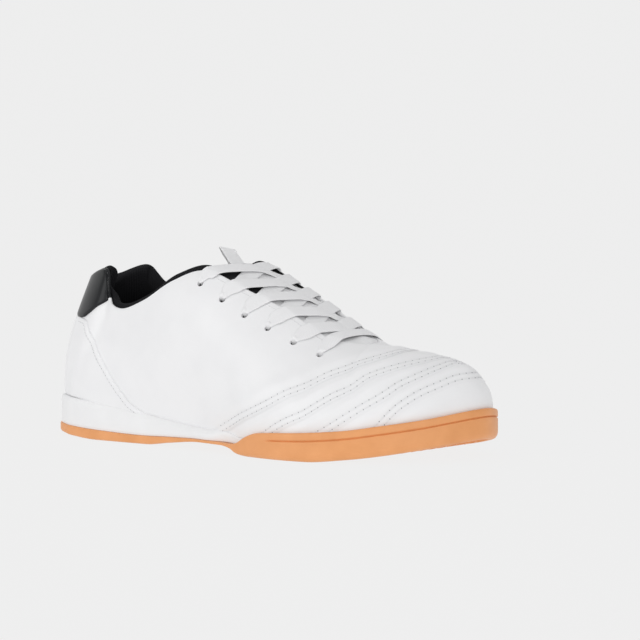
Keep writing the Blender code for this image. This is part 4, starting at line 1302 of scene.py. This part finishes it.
def rowLines():
    lines = []
    for name in vampRows:
        curve = rowCurve(name, 260)
        curve = curve[(curve[:, 1] > 0.03) & (curve[:, 1] < 0.985)]
        for shift in (-0.5, 0.5):
            r, v = beside(curve[:, 0], curve[:, 1], shift * upperLook["stitchGap"])
            lines.append((r, v, 0.0))
            lines.append((ring - r, v, 0.0))
    return lines


def edgeLines():
    r = np.linspace(8.05, 11.0, 220)
    v = 1.0 - 0.0034 / ribEnds(r)[5][:, 0]
    return [(r, v, 0.0), (ring - r, v, 0.0)]


def counterLines():
    r = np.linspace(1.5, 5.5, 220)
    v = counterHigh(r)
    r, v = beside(r, v, -0.0026)
    out = np.full(r.shape, heelLook["counterThick"] + shoe["gap"] * 0.5)
    return [(r, v, out), (ring - r, v, out)]


sewLines("vampStitches", rowLines(), 0.00004)
sewLines("edgeStitches", edgeLines(), 0.00002, pitch=0.0030, length=0.0024, hole=0.00020)
sewLines("counterStitches", counterLines(), 0.00002, pitch=0.0024, length=0.0019, hole=0.00026)


# tread

treadLook = {
    "pitch": 0.0072,
    "across": 0.0066,
    "length": 0.0060,
    "width": 0.0022,
    "slant": 38,
    "edge": 0.0085,  # free of bars along the edge of the sole
    "clear": 0.0002,  # above the ground
    "heel": (0.014, 0.098),
    "front": (0.172, 0.274),
}


def makeTreadTree():
    tree, given, made = newTree("treadBars", ("Length", "Width", "Height"), ("Rubber",))
    add, link = tree.nodes.new, tree.links.new
    rotation = add("FunctionNodeEulerToRotation")
    link(readVector(tree, "turn"), rotation.inputs[0])
    bar = add("GeometryNodeMeshCube")
    link(barSize(tree, given), bar.inputs["Size"])
    placed = setOnPoints(tree, given.outputs["Geometry"], bar.outputs["Mesh"], rotation.outputs[0],
                         given.outputs["Rubber"])
    link(placed, made.inputs["Geometry"])
    return tree


def buildTread():
    look, tall = treadLook, soleLook["treadDepth"] + treadLook["clear"]
    edge = soleEdge(soleRing, np.full(soleRing.shape, look["edge"]))
    half = len(soleRing) // 2
    outer, inner = edge[:half + 1], np.concatenate([edge[half:], edge[:1]])[::-1]
    points, turns = [], []
    for first, last in (look["heel"], look["front"]):
        for column, x in enumerate(np.arange(first, last, look["pitch"])):
            low, high = np.interp(x, outer[:, 0], outer[:, 1]), np.interp(x, inner[:, 0], inner[:, 1])
            slope = (height("ground", x + 0.002) - height("ground", x - 0.002)) / 0.004
            for y in np.linspace(low, high, max(int((high - low) / look["across"]), 2)):
                points.append(tuple((x, y, height("ground", x) + look["clear"] + tall / 2) - origin))
                turns.append((0.0, -math.atan(slope), math.radians(look["slant"]) * (-1) ** column))
    values = {"Length": look["length"], "Width": look["width"], "Height": tall, "Rubber": gum}
    runTree("treadBars", makeTreadTree(), points, [], "turn", turns, values)


buildTread()


# stage

stageLook = {
    "tone": (0.855, 0.855, 0.855, 1.0),
    "floorGlow": 0.975,
    "floorBase": (0.03, 0.03, 0.03, 1.0),
    "size": 6.0,  # the floor curves up behind
    "bend": 0.9,
    "depth": 2.4,
    "height": 5.0,
    "sky": (0.855, 0.855, 0.86, 1.0),
    "skyGlow": 0.55,
}
lightLook = {  # place, target, size, watts
    "softLeft": ((-0.55, -1.35, 0.55), (0, 0, 0.04), 1.1, 5.5),
    "softFront": ((1.25, -0.9, 0.40), (0.04, 0, 0.04), 1.1, 5.9),
    "softTop": ((0.1, -0.3, 1.6), (0.04, 0, 0.04), 1.2, 2.7),
}
cameraLook = {
    "azimuth": 42,  # degrees
    "elevation": 4.6,
    "roll": -0.64,
    "distance": 1.6,
    "target": (0.144, 0.0, 0.045),
    "seen": (262, 363.4),  # where the target is, in pixels of a 640 picture
    "focus": 2900,  # in the same pixels
    "picture": 640,
    "sensor": 36.0,
}


def buildStage():
    size, bend, depth = stageLook["size"], stageLook["bend"], stageLook["depth"]
    azimuth = math.radians(cameraLook["azimuth"])
    view = Vector((-math.sin(azimuth), math.cos(azimuth), 0))
    side = Vector((view.y, -view.x, 0))
    angles = np.linspace(0, math.pi / 2, 24)[1:]
    profile = [(-size, 0.0), (depth, 0.0)]
    profile += [(depth + bend * math.sin(a), bend * (1 - math.cos(a))) for a in angles]
    profile.append((depth + bend, stageLook["height"]))
    points = [view * along + side * across + Vector((0, 0, z))
              for along, z in profile for across in (-size, size)]
    faces = [(2 * i, 2 * i + 1, 2 * i + 3, 2 * i + 2) for i in range(len(profile) - 1)]
    mesh = bpy.data.meshes.new("sweep")
    mesh.from_pydata([tuple(p) for p in points], [], faces)
    mesh.shade_smooth()
    material = bpy.data.materials.new("paleFloor")
    material.use_nodes = True
    shader = material.node_tree.nodes["Principled BSDF"]
    shader.inputs["Base Color"].default_value = stageLook["floorBase"]
    shader.inputs["Roughness"].default_value = 0.9
    shader.inputs["Specular IOR Level"].default_value = 0.0
    shader.inputs["Emission Color"].default_value = stageLook["tone"]
    shader.inputs["Emission Strength"].default_value = stageLook["floorGlow"]
    mesh.materials.append(material)
    floor = bpy.data.objects.new("sweep", mesh)
    bpy.context.scene.collection.objects.link(floor)


def addLight(name, place, target, size, energy):
    lamp = bpy.data.lights.new(name, "AREA")
    lamp.shape = "DISK"
    lamp.size = size
    lamp.energy = energy
    light = bpy.data.objects.new(name, lamp)
    light.location = place
    light.rotation_euler = (Vector(target) - Vector(place)).to_track_quat("-Z", "Y").to_euler()
    bpy.context.scene.collection.objects.link(light)


def buildLight():
    world = bpy.data.worlds.new("studio")
    world.use_nodes = True
    world.node_tree.nodes["Background"].inputs["Color"].default_value = stageLook["sky"]
    world.node_tree.nodes["Background"].inputs["Strength"].default_value = stageLook["skyGlow"]
    bpy.context.scene.world = world
    for name, values in lightLook.items():
        addLight(name, *values)
    bpy.context.scene.view_settings.view_transform = "Standard"


def buildCamera():
    look = cameraLook
    azimuth, elevation, roll = (math.radians(look[key]) for key in ("azimuth", "elevation", "roll"))
    distance, focus, middle = look["distance"], look["focus"], look["picture"] / 2
    target = Vector(look["target"]) - Vector(origin)
    level = math.cos(elevation)
    back = Vector((math.sin(azimuth) * level, -math.cos(azimuth) * level, math.sin(elevation)))
    place = target + back * distance
    right = (-back).cross(Vector((0, 0, 1))).normalized()
    up = right.cross(-back)
    seenX, seenY = look["seen"]
    aim = target + (right * (middle - seenX) + up * (seenY - middle)) * (distance / focus)
    forward = (aim - place).normalized()
    right = forward.cross(Vector((0, 0, 1))).normalized()
    up = right.cross(forward)
    turnedRight = math.cos(roll) * right + math.sin(roll) * up
    turnedUp = math.cos(roll) * up - math.sin(roll) * right
    data = bpy.data.cameras.new("camera")
    data.sensor_width = look["sensor"]
    data.lens = focus / look["picture"] * look["sensor"]
    camera = bpy.data.objects.new("camera", data)
    turn = Matrix((turnedRight, turnedUp, -forward)).transposed()
    camera.matrix_world = Matrix.Translation(place) @ turn.to_4x4()
    bpy.context.scene.collection.objects.link(camera)
    bpy.context.scene.camera = camera


buildStage()
buildLight()
buildCamera()

print("scene ready")
